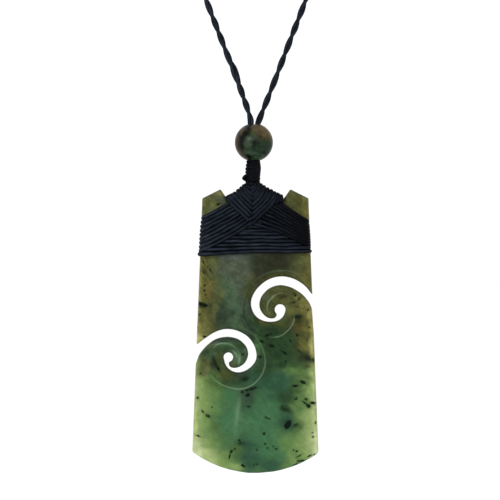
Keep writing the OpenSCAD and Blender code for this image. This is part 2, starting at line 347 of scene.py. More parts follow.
# %% [markdown]
# So far the blade is a flat slab with sharp edges. Polished stone is domed, hollowed round the spirals
# and rounded at every edge, and none of that follows the slab's few long faces. The Remesh modifier
# turns it into small even squares, which can then be moved one by one, as sculpting does.
# A finer grid would show nothing more at this size and would go past the triangles that a piece should
# have.

# %% Turn the slab into small squares
GRAIN = 0.305             # side of one square, in millimetres

finish_with(blade, "REMESH", mode="VOXEL", voxel_size=GRAIN * MM)
finish_with(blade, "SMOOTH", factor=0.5, iterations=2)
print(f"{len(blade.data.vertices)} points after the remesh")

# %% [markdown]
# The relief is worked out as the thickness that is left at each place. The blade is thickest in its
# upper third and thins to the lower edge, as an adze does. Along each slot a band is ground hollow, up
# to a crisp ridge that is charted round the eye like the walls. The tongue inside a spiral has a ridge
# of its own, with a hollow on either side of it.

# %% Chart the ridges
THICK_Z = -0.35 * blade_height   # height at which the blade is thickest
ACROSS_R = 240.0          # radius of a face's curve from side to side
EDGE_HALF = 1.1           # half the thickness at the lowest point

RIGHT["ridge"] = [(40, 10.9), (56, 11.5), (70, 12.0), (88, 11.7), (115, 11.6), (131, 11.5), (146, 10.9),
                  (170, 10.8), (188, 10.9), (211, 10.5), (232, 9.5), (250, 8.7), (264, 8.1), (273, 7.65),
                  (284, 6.9), (297, 6.25), (310, 5.6), (325, 5.1), (345, 4.1)]
LEFT["ridge"] = [(60, 9.4), (90, 9.6), (115, 9.8), (140, 10.2), (154, 10.4), (166, 10.6), (179, 10.9),
                 (191, 11.2), (206, 11.25), (216, 11.1), (226, 11.0), (235, 10.7), (243, 10.35), (251, 10.0),
                 (258, 9.55), (267, 9.0), (278, 8.5), (289, 8.15), (302, 7.85), (330, 6.9)]
RIGHT["tongue"] = [(10, 5.6), (40, 5.3), (70, 5.15), (90, 5.0), (102, 4.8), (125, 4.25), (154, 4.15),
                   (180, 3.9), (205, 3.2), (235, 2.1)]
LEFT["tongue"] = [(15, 5.6), (33, 5.3), (60, 4.9), (80, 4.3), (120, 3.6), (150, 3.45), (180, 3.5), (208, 3.4),
                  (235, 2.9), (262, 2.0)]
# How brightly the painted highlight along each ridge shows at an angle: 1 is a clear pale line, and below 0 it
# is a dark line of painted shade.
RIGHT["ridge_painted_light"] = [(40, 0.15), (90, 0.3), (140, 0.05), (165, -0.8), (225, -0.8), (246, 0), (264, 0.7),
                        (325, 0.9), (345, 0.3)]
LEFT["ridge_painted_light"] = [(60, 0), (120, 0.15), (165, 0.35), (200, 0.7), (240, 0.95), (280, 0.8), (302, 0.4),
                       (330, 0)]
RIGHT["tongue_painted_light"] = [(70, 0.1), (98, 0.5), (120, 0.85), (175, 0.65), (200, 0.15), (215, 0)]
LEFT["tongue_painted_light"] = [(15, 0), (38, 0.6), (60, 0.8), (100, 0.6), (130, 0.3), (180, 0.45), (215, 0.1),
                        (240, 0)]


def fade(value, low, high):
    """0 below low, 1 above high, and a soft step between them."""
    t = np.clip((value - low) / (high - low), 0, 1)
    return t * t * (3 - 2 * t)


def seen_from(x, z, spiral):
    """Angle in degrees and distance of each point round a spiral's eye, as the charts have them."""
    across, up = spiral["side"] * (x - spiral["eye"][0]), z - spiral["eye"][1]
    return np.degrees(np.arctan2(up, across)) % 360, np.hypot(across, up)


def charted(table, value):
    """The second column of a chart at this value of its first."""
    first, second = zip(*table)
    return np.interp(value, first, second)


def dome(x, z):
    """Half the thickness of the domed blade, before any hollow is ground."""
    along = (half_thick - EDGE_HALF) * ((z - THICK_Z) / (blade_height + THICK_Z)) ** 2
    return half_thick - np.hypot(along, x ** 2 / (2 * ACROSS_R))


ears, edge = dome(0.0, 0.0), dome(0.0, -blade_height)
print(f"half thickness at the ears {ears:.2f} mm, at the lower edge {edge:.2f} mm")

# %% Grind the hollows and ridges
HOLLOW = 0.5              # depth of the band beside a slot
TONGUE_HOLLOW = 0.42
CRISP = 1.7               # over 1, the hollow meets its ridge in a crisp line
RIDGE_WIDTH = 0.22
BAND_STARTS, BAND_ENDS = 35, 25         # degrees over which a band deepens, and runs out
TONGUE_STARTS, TONGUE_ENDS = 40, 8      # the same for a tongue's, which stops this far past its chart
WALL_SPARE, TONGUE_SPARE = 0.6, 0.5     # each is ground this far past its wall, so that no lip is left


def relief(x, z, spiral):
    """Depth ground away round one spiral. Then, for its ridge and for its tongue's, how far each point is from
    it, below 0 inside it, and the painted light along it there: above 0 a highlight, below 0 shade."""
    angle, away = seen_from(x, z, spiral)
    wall, ridge = charted(spiral["outer"], angle), charted(spiral["ridge"], angle)
    share = np.clip((away - wall) / (ridge - wall), 0, 1)
    first, last = spiral["ridge"][0][0], spiral["ridge"][-1][0]
    ends = fade(angle, first, first + BAND_STARTS) * (1 - fade(angle, last - BAND_ENDS, last))
    in_band = (away < ridge) & (away > wall - WALL_SPARE)
    depth = HOLLOW * (1 - share ** CRISP) * ends * in_band
    on_ridge = away - ridge, charted(spiral["ridge_painted_light"], angle) * ends
    wall, ridge = charted(spiral["inner"][1:], angle), charted(spiral["tongue"], angle)
    low = np.clip((away - spiral["eye_r"]) / (ridge - spiral["eye_r"]), 0, 1)
    high = np.clip((wall - away) / (wall - ridge), 0, 1)
    first, last = spiral["tongue"][0][0], spiral["tongue"][-1][0]
    ends = fade(angle, first, first + TONGUE_STARTS) * (angle < last + TONGUE_ENDS)
    ends = ends * (away < wall + TONGUE_SPARE)
    depth += TONGUE_HOLLOW * (1 - np.where(away < ridge, low, high) ** CRISP) * ends
    return depth, on_ridge, (away - ridge, charted(spiral["tongue_painted_light"], angle) * ends)


def nearer(first, second):
    """Of two ridges, the gap and the painted light of the one that is nearer to each point."""
    closer = abs(first[0]) < abs(second[0])
    return [np.where(closer, one, other) for one, other in zip(first, second)]


points = np.array([v.co for v in blade.data.vertices]) / MM
x, z = points[:, 0], points[:, 2] - ear_z
slab_y = (points[:, 1] - middle_y) / (SLAB_THICK / 2)
right_depth, *right_ridges = relief(x, z, RIGHT)
left_depth, *left_ridges = relief(x, z, LEFT)
ridge_gap, ridge_painted_light = nearer(right_ridges[0], left_ridges[0])
tongue_gap, tongue_painted_light = nearer(right_ridges[1], left_ridges[1])
crest_line = np.maximum(np.exp(-(ridge_gap / RIDGE_WIDTH) ** 2) * ridge_painted_light,
                        np.exp(-(tongue_gap / RIDGE_WIDTH) ** 2) * tongue_painted_light)
print(f"deepest hollow {max(right_depth.max(), left_depth.max()):.2f} mm")

# %% [markdown]
# Every edge is eased with a small round, wider on the outside of the blade than in the slots. How far
# a point lies from the nearest edge is found from the points that the remesh left on the side walls.

# %% Ease the edges
RIM_ROUND = 0.75
SLOT_ROUND = 0.4
ROUND_SHARE = 0.97        # under 1, so that an edge isn't ground away to nothing
CREST = 0.06              # how far a bright ridge stands up
WALL_SHARE = 0.8          # points nearer than this to the slab's middle are on a wall, as a share of its half
SIDE_NEAR, EDGE_NEAR = 0.7, 0.6         # walls so near to a side, or to the lower edge, are the outside
CORNER_NEAR, LASHED_Z = 2, -21          # the lower edge counts up to here, and all above this height


def distance_to(rows, near_x, near_z):
    """Distance of each point from the nearest of these rows, looking straight at the blade."""
    tree = KDTree(len(rows))
    for number, row in enumerate(rows):
        tree.insert((x[row], z[row], 0), number)
    tree.balance()
    return np.array([tree.find((a, b, 0))[2] for a, b in zip(near_x, near_z)])


def eased(distance, radius):
    """How much of the thickness a rounded edge leaves at this distance from it."""
    inside = np.clip(1 - distance / radius, 0, 1)
    return np.sqrt(1 - (ROUND_SHARE * inside) ** 2)


from_edge_centre = np.hypot(x - EDGE_X, z - edge_centre_z)
at_edge = (z < foot_corner_z + CORNER_NEAR) & (from_edge_centre > EDGE_R - EDGE_NEAR)
outside = (abs(x) > side_x(z) - SIDE_NEAR) | at_edge | (z > LASHED_Z)
on_wall = np.abs(slab_y) < WALL_SHARE
from_rim = distance_to(np.flatnonzero(on_wall & outside), x, z)
from_slot = distance_to(np.flatnonzero(on_wall & ~outside), x, z)

half = dome(x, z) - right_depth - left_depth + CREST * crest_line
half *= np.minimum(eased(from_rim, RIM_ROUND), eased(from_slot, SLOT_ROUND))
points[:, 1] = middle_y + np.clip(slab_y, -1, 1) * half
blade.data.vertices.foreach_set("co", (points * MM).ravel())
blade.data.update()
finish_with(blade, "SMOOTH", factor=0.35, iterations=1)
bpy.ops.object.shade_smooth()
print(f"blade {blade.dimensions.y / MM:.2f} mm thick, {2 * len(blade.data.polygons)} triangles")

# %% [markdown]
# The jade itself is what the eye goes to. Its colour lies in clouds: a smoky grey green under the
# lashing, yellow olive along the upper sides, clear green in the middle, and pale yellow green towards
# the thin lower corners. An image of a stone would be the quick way, but then the colour would not
# belong to this carving.
# Here the clouds are charted one by one, each with a tone, a place, two radii and a strength. Every point of
# the mesh mixes the clouds that reach it, and a little noise bends their borders.

# %% Tones of the stone
STUDIO_LIGHT = 1.4        # how much brighter the white tent and the lamps make every colour
GLOSS_HAZE = 0.0062       # and what the polish mirrors of the tent
CLOUD_FALL = 2.6          # how fast a cloud fades outside its radii
CLOUD_BEND = (1.1, 0.3)   # how many millimetres noise bends a border, and how fine its waves are
GLOW_WIDTH, GLOW_MORE = 0.5, 0.7        # width of the pale edge, and how much wider it is in the thin part
THIN_BELOW = (58.0, 78.0)               # depths between which the blade comes to be thin
SLOT_LESS = 0.3           # the edges of the slots are paler by less
GLOW_BELOW = (9, 20)      # above, under the lashing and on the ears, no edge looks pale
DUST_SHARE, DUST_LESS = 0.5, 0.4        # fine dark dust lies mostly in the olive parts
CLEAN_BELOW = (48.0, 62.0)


def seen(red, green, blue):
    """The base colour that looks like this on a screen, once the studio's light falls on it."""
    screen = [((v / 255 + 0.055) / 1.055) ** 2.4 for v in (red, green, blue)]
    return tuple(max(v - GLOSS_HAZE, 0.15 * v) / STUDIO_LIGHT for v in screen)


TONES = {
    "smoke": seen(78, 85, 72), "haze": seen(80, 90, 88), "slate": seen(48, 62, 50), "umber": seen(44, 46, 35),
    "bark": seen(84, 75, 42), "moss": seen(66, 70, 40), "lichen": seen(84, 88, 54), "olive": seen(96, 93, 50),
    "straw": seen(142, 138, 82), "maize": seen(170, 168, 110), "sea": seen(68, 88, 68),
    "pool": seen(48, 80, 60), "pine": seen(42, 62, 40), "fern": seen(68, 100, 66), "jade": seen(64, 106, 72),
    "herb": seen(68, 94, 54), "leaf": seen(93, 124, 71), "lime": seen(126, 149, 91),
    "pale": seen(160, 176, 121), "cream": seen(190, 200, 156),
}
# The clouds of each tone: x, z, two radii and a strength. The first of all is faint and lies everywhere.
JADE_CLOUDS = {
    "fern": [(0, -60, 60, 60, 0.03), (-8.2, -46.9, 3.0, 0.8, 0.5), (0.2, -46.8, 0.9, 3.8, 0.9),
        (-9.4, -65.0, 2.2, 1.8, 0.8), (12.6, -63.2, 1.2, 1.2, 0.6), (-9.0, -77.2, 1.8, 1.6, 1.3),
        (-10.4, -74.4, 1.8, 1.6, 0.8), (0.6, -83.6, 2.0, 1.0, 0.6)],
    "lichen": [(-13.5, -5, 4, 4, 1.0), (10.2, -4, 2.4, 3.4, 1.0), (-12.8, -22.6, 1.8, 2.4, 1.2),
        (13.6, -22.8, 2.0, 3.3, 1.2), (-12.2, -33.5, 1.4, 3.0, 0.8), (-11.4, -31.0, 1.6, 2.4, 0.7),
        (-12.6, -27.0, 1.6, 1.6, 0.7), (3.4, -37.2, 0.9, 1.2, 1.4), (-15.4, -39.2, 1.8, 3.4, 1.0),
        (-12.0, -37.6, 1.2, 2.4, 0.7), (6.4, -29.6, 2.4, 0.8, 0.6), (12.6, -35.6, 2.6, 2.4, 0.9),
        (8.2, -42.2, 1.1, 0.6, 0.7), (-16.0, -53.4, 2.2, 2.4, 1.0), (-15.8, -55.6, 1.6, 1.4, 0.8),
        (14.6, -56.4, 1.6, 0.9, 0.7)],
    "olive": [(-15.5, -3.5, 1.6, 3, 1.0), (14.6, -7.6, 1.4, 2, 0.9), (13.2, -2.9, 0.9, 0.8, 1.4),
        (14.7, -4.2, 0.7, 1.6, 2.4), (-15.8, -23, 1.5, 3.4, 1.3), (16.3, -22.8, 0.9, 3.6, 1.2),
        (15.0, -27.0, 1.6, 2.0, 1.4), (-15.4, -29.7, 1.9, 3.2, 1.3), (-15.8, -39.6, 1.8, 4.4, 0.8),
        (13.6, -35.9, 3.2, 2.2, 1.1), (15.2, -41.4, 1.9, 3.2, 0.9), (14.2, -46.4, 1.4, 2.2, 0.9)],
    "smoke": [(-10.5, -3, 2, 2.5, 0.6), (-9.0, -22.6, 2.6, 2.8, 1.1), (-4.2, -23.4, 3.2, 3.6, 1.2),
        (-6.4, -26.4, 2.4, 2.6, 0.9), (-5.0, -28.5, 2.2, 2.6, 0.8), (-3.6, -33.4, 1.0, 3.0, 0.6),
        (3.4, -32.8, 0.8, 1.0, 1.2)],
    "moss": [(13.4, -4.4, 1.9, 2.4, 1.5), (10.2, -2.0, 0.9, 0.9, 1.0), (9.8, -26.8, 6.0, 1.7, 1.2),
        (-1.9, -30.5, 1.5, 3.8, 1.5), (-15.9, -35.6, 0.8, 0.7, 1.0), (-12.0, -41.3, 1.3, 1.0, 1.0),
        (-12.8, -38.8, 1.0, 1.2, 0.9), (6.5, -40.5, 4.5, 0.8, 1.2), (10.5, -39.6, 1.6, 1.6, 0.8),
        (3.8, -34.4, 1.9, 4.0, 1.3), (9.4, -31.6, 3.6, 1.9, 1.0), (12.2, -47.0, 1.4, 2.0, 0.6),
        (-10.7, -50.4, 0.9, 1.8, 1.6), (-15.6, -51.8, 1.4, 1.0, 1.0), (-8.3, -55.6, 2.6, 2.2, 1.4),
        (15.4, -52.8, 1.6, 0.7, 0.7)],
    "straw": [(-10.7, -1.3, 1.0, 0.8, 0.9), (-12.4, -4.8, 1.5, 1.0, 0.6), (14.8, -4.0, 0.5, 1.4, 1.4),
        (16.2, -6, 0.7, 3, 0.8), (-16.8, -22.4, 0.8, 3.6, 1.5), (-17.0, -30.5, 0.5, 4.5, 0.7),
        (-17.0, -40.5, 0.8, 3.4, 0.8), (12.1, -32.2, 0.8, 0.8, 0.7), (13.4, -33.4, 0.8, 0.8, 0.5),
        (14.2, -35.4, 1.0, 2.2, 0.8), (16.4, -37.2, 1.0, 2.8, 1.2), (17.2, -43.5, 0.6, 4.5, 0.8),
        (16.8, -47.4, 0.8, 2.4, 0.4), (17.6, -49.0, 0.7, 3.5, 0.9)],
    "umber": [(10.6, -4.8, 1.7, 1.2, 1.0), (5.2, -21.8, 6.6, 2.5, 1.5), (1.0, -25.4, 2.6, 1.8, 1.3),
        (-1.2, -33.5, 1.3, 2.4, 0.8), (-10.6, -38.2, 0.8, 1.6, 0.9), (12.8, -38.9, 1.1, 1.0, 2.6),
        (15.0, -50.4, 1.8, 0.8, 1.6), (-12.6, -52.6, 1.2, 2.0, 1.3), (-3.6, -56.4, 1.6, 1.4, 0.7)],
    "bark": [(12.0, -3.6, 1.3, 1.1, 1.6), (4.5, -26.6, 2.6, 1.0, 0.5), (-14.2, -30.8, 1.2, 1.6, 1.5),
        (-13.7, -38.5, 0.9, 2.4, 0.4), (2.3, -39.3, 2.2, 0.5, 0.9), (8.0, -31.8, 2.6, 1.6, 0.6),
        (12.8, -41.0, 1.6, 2.4, 0.9)],
    "haze": [(-7.0, -20.2, 3.4, 1.2, 1.6)],
    "sea": [(-8.6, -27.0, 1.8, 2.0, 0.8), (-6.4, -31.2, 3.0, 3.6, 1.1), (-4.6, -39.4, 1.8, 3.2, 1.1),
        (-13.4, -49.6, 1.8, 1.6, 1.8), (-6.6, -49.4, 3.6, 1.8, 0.7)],
    # The third slate cloud, at x -2.8 and z -37.2, lies along the right spiral's ridge: it is painted shadow
    # of the ridge, not a tone of the stone.
    "slate": [(-10.0, -38.0, 2.0, 2.8, 1.5), (-6.5, -36.8, 1.2, 1.2, 0.7), (-2.8, -37.2, 1.1, 3.0, 2.0),
        (-1.6, -42.2, 1.5, 1.5, 1.2), (-8.8, -45.3, 3.0, 0.9, 2.2), (-3.2, -55.4, 2.0, 1.6, 1.6),
        (2.2, -51.8, 1.2, 1.6, 0.6), (-2.0, -62.6, 2.0, 3.0, 1.2)],
    "maize": [(-16.9, -45.0, 1.2, 1.5, 2.6), (16.8, -46.6, 0.8, 1.8, 0.7)],
    "pine": [(0.0, -40.2, 2.0, 2.2, 1.1), (-1.0, -44.0, 1.2, 1.6, 0.8), (6.8, -43.6, 5.0, 2.4, 2.3),
        (7.0, -47.8, 4.8, 3.2, 1.8), (8.0, -52.6, 4.0, 1.2, 0.8), (7.2, -44.8, 3.2, 1.0, 2.0),
        (-14.6, -49.0, 2.0, 1.8, 0.9), (-4.4, -46.6, 1.6, 1.6, 0.8), (-8.8, -48.4, 2.6, 0.9, 1.4),
        (2.4, -44.4, 1.8, 3.0, 1.3), (-8.4, -57.6, 3.0, 1.6, 1.0), (2.8, -53.8, 2.6, 1.5, 4.2),
        (0.4, -59.4, 1.2, 0.9, 0.8), (10.8, -61.0, 1.1, 2.2, 1.0), (8.8, -62.4, 2.8, 2.2, 1.7),
        (9.4, -66.2, 1.5, 1.0, 1.2)],
    "pool": [(-3.4, -57.2, 1.4, 1.0, 1.2), (0.4, -56.6, 2.6, 3.0, 1.1), (6.4, -57.6, 4.2, 3.0, 1.4),
        (4.5, -62.0, 2.4, 1.4, 0.7), (9.7, -70.3, 2.7, 2.7, 1.3), (-2.9, -76.4, 2.8, 1.5, 1.1),
        (-1.8, -80.6, 2.6, 2.4, 2.4), (5.6, -82.4, 4.2, 1.6, 1.4)],
    "lime": [(-16.2, -60.8, 2.3, 3.6, 2.2), (-17.3, -53.6, 0.6, 1.9, 1.2), (17.0, -54.6, 0.9, 2.4, 0.8),
        (16.0, -61.0, 1.6, 2.8, 0.9), (14.2, -59.5, 0.8, 0.8, 0.8), (-15.8, -68.0, 1.5, 2.6, 3.4),
        (-16.4, -70.0, 1.6, 4.6, 0.8), (15.2, -67.8, 1.5, 1.2, 2.0), (15.6, -71.4, 2.0, 3.6, 1.1),
        (-14.6, -76.4, 2.0, 1.2, 1.8), (-12.9, -76.0, 0.9, 0.9, 1.4), (-10.0, -81.0, 1.8, 2.0, 1.4),
        (-5.6, -83.4, 1.2, 0.9, 1.2), (14.4, -77.4, 2.6, 2.4, 1.2), (11.4, -80.8, 1.8, 1.4, 0.5),
        (-6.8, -83.0, 1.6, 0.8, 0.6)],
    "leaf": [(-13.6, -60.6, 1.6, 3.0, 0.8), (-11.6, -62.0, 1.8, 2.4, 0.8), (11.8, -54.6, 4.2, 1.3, 0.7),
        (14.8, -56.8, 2.0, 1.3, 0.8), (13.2, -63.6, 2.0, 1.6, 1.3), (13.4, -61.2, 1.2, 0.7, 1.0),
        (-14.2, -68.4, 2.0, 4.6, 1.0), (-10.8, -66.8, 1.2, 3.0, 0.5), (13.2, -67.8, 1.8, 1.6, 0.9),
        (11.2, -65.4, 0.9, 0.9, 1.0), (14.4, -74.6, 1.6, 1.6, 0.6), (10.2, -75.3, 3.2, 2.2, 1.2),
        (-12.6, -75.4, 1.6, 2.2, 1.1), (-11.6, -76.4, 1.6, 0.9, 1.2), (-9.2, -81.0, 2.0, 1.6, 2.0),
        (-6.4, -81.8, 1.6, 1.3, 1.0), (12.4, -79.8, 2.2, 1.8, 1.2), (9.4, -82.2, 1.8, 1.2, 1.7)],
    "pale": [(-17.9, -61.4, 0.8, 3.2, 1.4), (-15.9, -59.4, 0.8, 0.9, 0.6), (17.2, -55.2, 0.8, 1.4, 1.2),
        (17.6, -60.0, 0.9, 5.0, 0.7), (-18.2, -70.4, 0.8, 4.4, 1.5), (-15.9, -67.2, 0.8, 1.0, 0.8),
        (15.9, -72.3, 1.8, 2.6, 0.7), (15.6, -68.5, 0.9, 0.9, 0.8), (17.4, -69.0, 1.0, 4.5, 0.9),
        (-15.6, -79.0, 3.0, 2.6, 1.2), (-12.0, -81.4, 1.6, 1.0, 0.9), (16.2, -75.4, 1.6, 2.6, 0.7)],
    "herb": [(-11.8, -58.4, 2.2, 2.8, 2.0), (13.0, -59.2, 2.0, 2.0, 2.0), (15.2, -63.4, 1.4, 1.3, 1.0),
        (-12.4, -70.8, 1.2, 2.0, 1.0), (13.0, -71.0, 1.4, 2.0, 1.9), (-6.4, -77.6, 1.4, 1.2, 0.8),
        (-5.0, -79.0, 1.6, 1.6, 1.2)],
    "jade": [(-7.8, -61.8, 2.2, 2.8, 1.3), (2.4, -66.5, 4.6, 5.4, 1.3), (-8.4, -69.4, 2.6, 4.2, 1.3),
        (3.6, -75.6, 3.6, 3.6, 1.0), (4.0, -78.9, 3.4, 1.6, 1.2)],
    "cream": [(-17.4, -79.4, 1.4, 3.4, 1.6), (17.9, -75.8, 0.9, 4.6, 1.9)],
}


def mixed_clouds(clouds, x, z, bend, size):
    """The tone at each point: every cloud counts by how close it is. Noise bends the clouds' borders."""
    warp_x, warp_z = [bend * np.array([noise.noise(Vector((a, b, seed)) * size) for a, b in zip(x, z)])
                      for seed in (3.0, 9.0)]
    total, colour = np.zeros(len(x)), np.zeros((len(x), 3))
    for tone, spots in clouds.items():
        for cloud_x, cloud_z, wide, tall, strength in spots:
            reach = ((x + warp_x - cloud_x) / wide) ** 2 + ((z + warp_z - cloud_z) / tall) ** 2
            weight = strength * (1 + reach) ** -CLOUD_FALL
            total += weight
            colour += weight[:, None] * np.array(TONES[tone])
    return colour / total[:, None]


def store(piece, layers):
    """Keeps numbers or colours, one for each point of the mesh, for the material to read."""
    count = len(piece.data.vertices)
    for name, values in layers.items():
        if np.ndim(values) == 2:
            kept = piece.data.attributes.new(name, "FLOAT_COLOR", "POINT")
            kept.data.foreach_set("color", np.column_stack([values, np.ones(count)]).ravel())
        else:
            kept = piece.data.attributes.new(name, "FLOAT", "POINT")
            kept.data.foreach_set("value", np.full(count, values, float))


glow = GLOW_WIDTH + GLOW_MORE * fade(-z, *THIN_BELOW)      # light comes through the thin lower edges
# The ridges' painted light and the thin edges' painted glow are kept with the tones.
store(blade, {
    "tone": mixed_clouds(JADE_CLOUDS, x, z, *CLOUD_BEND),
    "ridge_gap": ridge_gap, "ridge_painted_light": ridge_painted_light, "tongue_gap": tongue_gap, "tongue_painted_light": tongue_painted_light,
    "pepper": DUST_SHARE - DUST_LESS * fade(-z, *CLEAN_BELOW),
    "thin_edge_glow": np.exp(-np.minimum(from_rim, from_slot + SLOT_LESS) / glow) * fade(-z, *GLOW_BELOW),
})
print(f"{sum(len(spots) for spots in JADE_CLOUDS.values())} clouds in {len(TONES)} tones")

# %% [markdown]
# Inside the stone hang thin pale veils and dark smoky streaks. They are charted like the clouds, but each one
# is long and leans, and adds light or takes it away instead of bringing a tone of its own. Some pale ones are
# painted highlights: the longest, the straight pale line down the left of the middle, where the faces meet in
# a soft crest, and short ones along the tongues' crests. The same layer also carries painted shade along the
# square-cut edges of the ears.

# %% Chart the veils
# Painted shade along the square-cut edges of the ears: how dark it is, and how wide.
EAR_EDGE_SHADE = 0.5            # how dark the square-cut edges of the ears look
EAR_SHADE_WIDTH = 0.3
EARS_Z = -10              # the ears end here
# x, z, half length, half width, lean in degrees, and the light it adds
VEILS_AND_HIGHLIGHTS = [
    (-5.3, -66.8, 7.5, 0.6, 83, 0.15), (-5.4, -67.0, 7.0, 1.6, 83, 0.18), (-10.6, -46.3, 2.8, 0.3, 8, 0.35),
    (-12.4, -6.1, 3.8, 0.35, 29, 0.25), (12.2, -6.45, 4.3, 0.2, -34, 0.14), (7.6, -31.6, 1.9, 0.9, 5, -0.3),
    (5.1, -32.2, 0.9, 0.3, 45, 0.35), (3.7, -34.0, 0.9, 0.3, 80, 0.3), (9.9, -30.8, 0.8, 0.2, -55, 0.25),
    (7.7, -30.0, 1.0, 0.2, 0, 0.2), (-5.9, -49.3, 1.9, 0.5, -50, 0.45), (-4.9, -51.6, 1.3, 0.45, 85, 0.4),
    (6.2, -30.8, 1.6, 0.4, 22, 0.12), (10.2, -40.3, 1.8, 0.35, 58, 0.15), (11.6, -30.0, 1.2, 0.4, -40, 0.3),
    (-1.8, -70.5, 2.6, 0.35, -40, 0.2), (12.6, -38.2, 1.5, 0.65, 4, -0.95),
    (8.8, -66.0, 1.7, 0.65, -8, -0.7), (8.0, -65.0, 0.8, 0.5, 0, -0.5), (-3.2, -56.9, 1.7, 0.9, 15, -0.8),
    (-11.8, -52.4, 2.1, 0.55, -62, -0.9), (-12.6, -50.0, 1.2, 0.6, -70, -0.4),
    (-15.0, -24.6, 1.8, 0.5, -62, -0.6), (-15.6, -22.0, 1.0, 0.4, -50, -0.4),
    (-13.2, -27.0, 1.0, 0.5, 10, -0.4), (11.7, -31.3, 1.1, 0.45, -42, -0.7),
    (13.2, -32.8, 0.7, 0.6, 0, -0.7), (11.4, -33.9, 1.1, 0.5, 20, -0.7), (12.4, -35.2, 1.1, 0.4, -15, -0.6),
    (15.4, -39.8, 1.2, 0.3, 80, -0.4), (15.6, -44.4, 1.6, 0.35, 70, -0.5), (8.2, -32.4, 1.9, 0.5, 12, -0.5),
    (-13.6, -36.4, 1.2, 0.6, 60, -0.4), (5.4, -43.4, 2.6, 0.7, 12, -0.4),
    (13.2, -48.6, 1.8, 0.6, -40, -0.6), (16.2, -50.9, 1.6, 0.6, -25, -0.6),
    (9.6, -69.8, 2.2, 1.5, 62, -0.45), (12.2, -70.9, 1.2, 0.5, 30, -0.5),
    (13.4, -71.4, 0.8, 0.4, -45, -0.35), (-11.8, -71.2, 0.4, 0.35, 0, -0.4),
    (-8.7, -72.1, 0.4, 0.3, 0, -0.4), (-8.8, -73.6, 0.4, 0.35, 0, -0.4), (-1.6, -59.9, 2.4, 0.8, 18, -0.5),
    (-4.2, -76.2, 2.2, 0.9, -15, -0.45), (0.8, -77.0, 2.0, 0.7, -20, -0.25),
    (-13.2, -58.0, 2.4, 0.5, -30, -0.3), (-14.2, -22.4, 2.4, 0.4, -65, -0.35),
    (-13.4, -34.6, 1.4, 0.7, 50, -0.4), (-16.2, -35.4, 1.2, 0.5, 0, -0.6),
    (16.2, -56.6, 1.8, 0.4, -25, -0.3),
]


def slash(x, z, middle_x, middle_z, length, width, lean):
    """Where each point lies along a leaning slash and across it, 1 being the slash's own end or side."""
    turn = math.radians(lean)
    along = (x - middle_x) * math.cos(turn) + (z - middle_z) * math.sin(turn)
    across = (z - middle_z) * math.cos(turn) - (x - middle_x) * math.sin(turn)
    return along / length, across / width


def veils_and_highlights(x, z):
    """Light that the veils and the painted highlights along crests add at each point, or take away where it is
    below 0.
    """
    light = np.zeros(len(x))
    for *shape, strength in VEILS_AND_HIGHLIGHTS:
        along, across = slash(x, z, *shape)
        light += strength * np.exp(-along ** 2 - across ** 2)
    return np.clip(light, -1, 1)


# Painted shade along the square-cut edges of the ears, laid into the same layer as the veils.
ear_edge_shade = EAR_EDGE_SHADE * np.exp(-from_rim / EAR_SHADE_WIDTH) * (z > EARS_Z)
store(blade, {"veil_and_painted_light": veils_and_highlights(x, z) - ear_edge_shade})
print(f"{len(VEILS_AND_HIGHLIGHTS)} veils")

# %% [markdown]
# Black specks of other minerals lie in the stone, most of them short slashes that all lean the same way. Each
# is charted with its place, its half length and half width, and its lean. What the mesh keeps is how far each
# point is from the nearest speck, because such a distance stays sharp between points where a painted spot
# would blur.

# %% Chart the specks
FAR = 9.0                 # a distance at which no speck shows
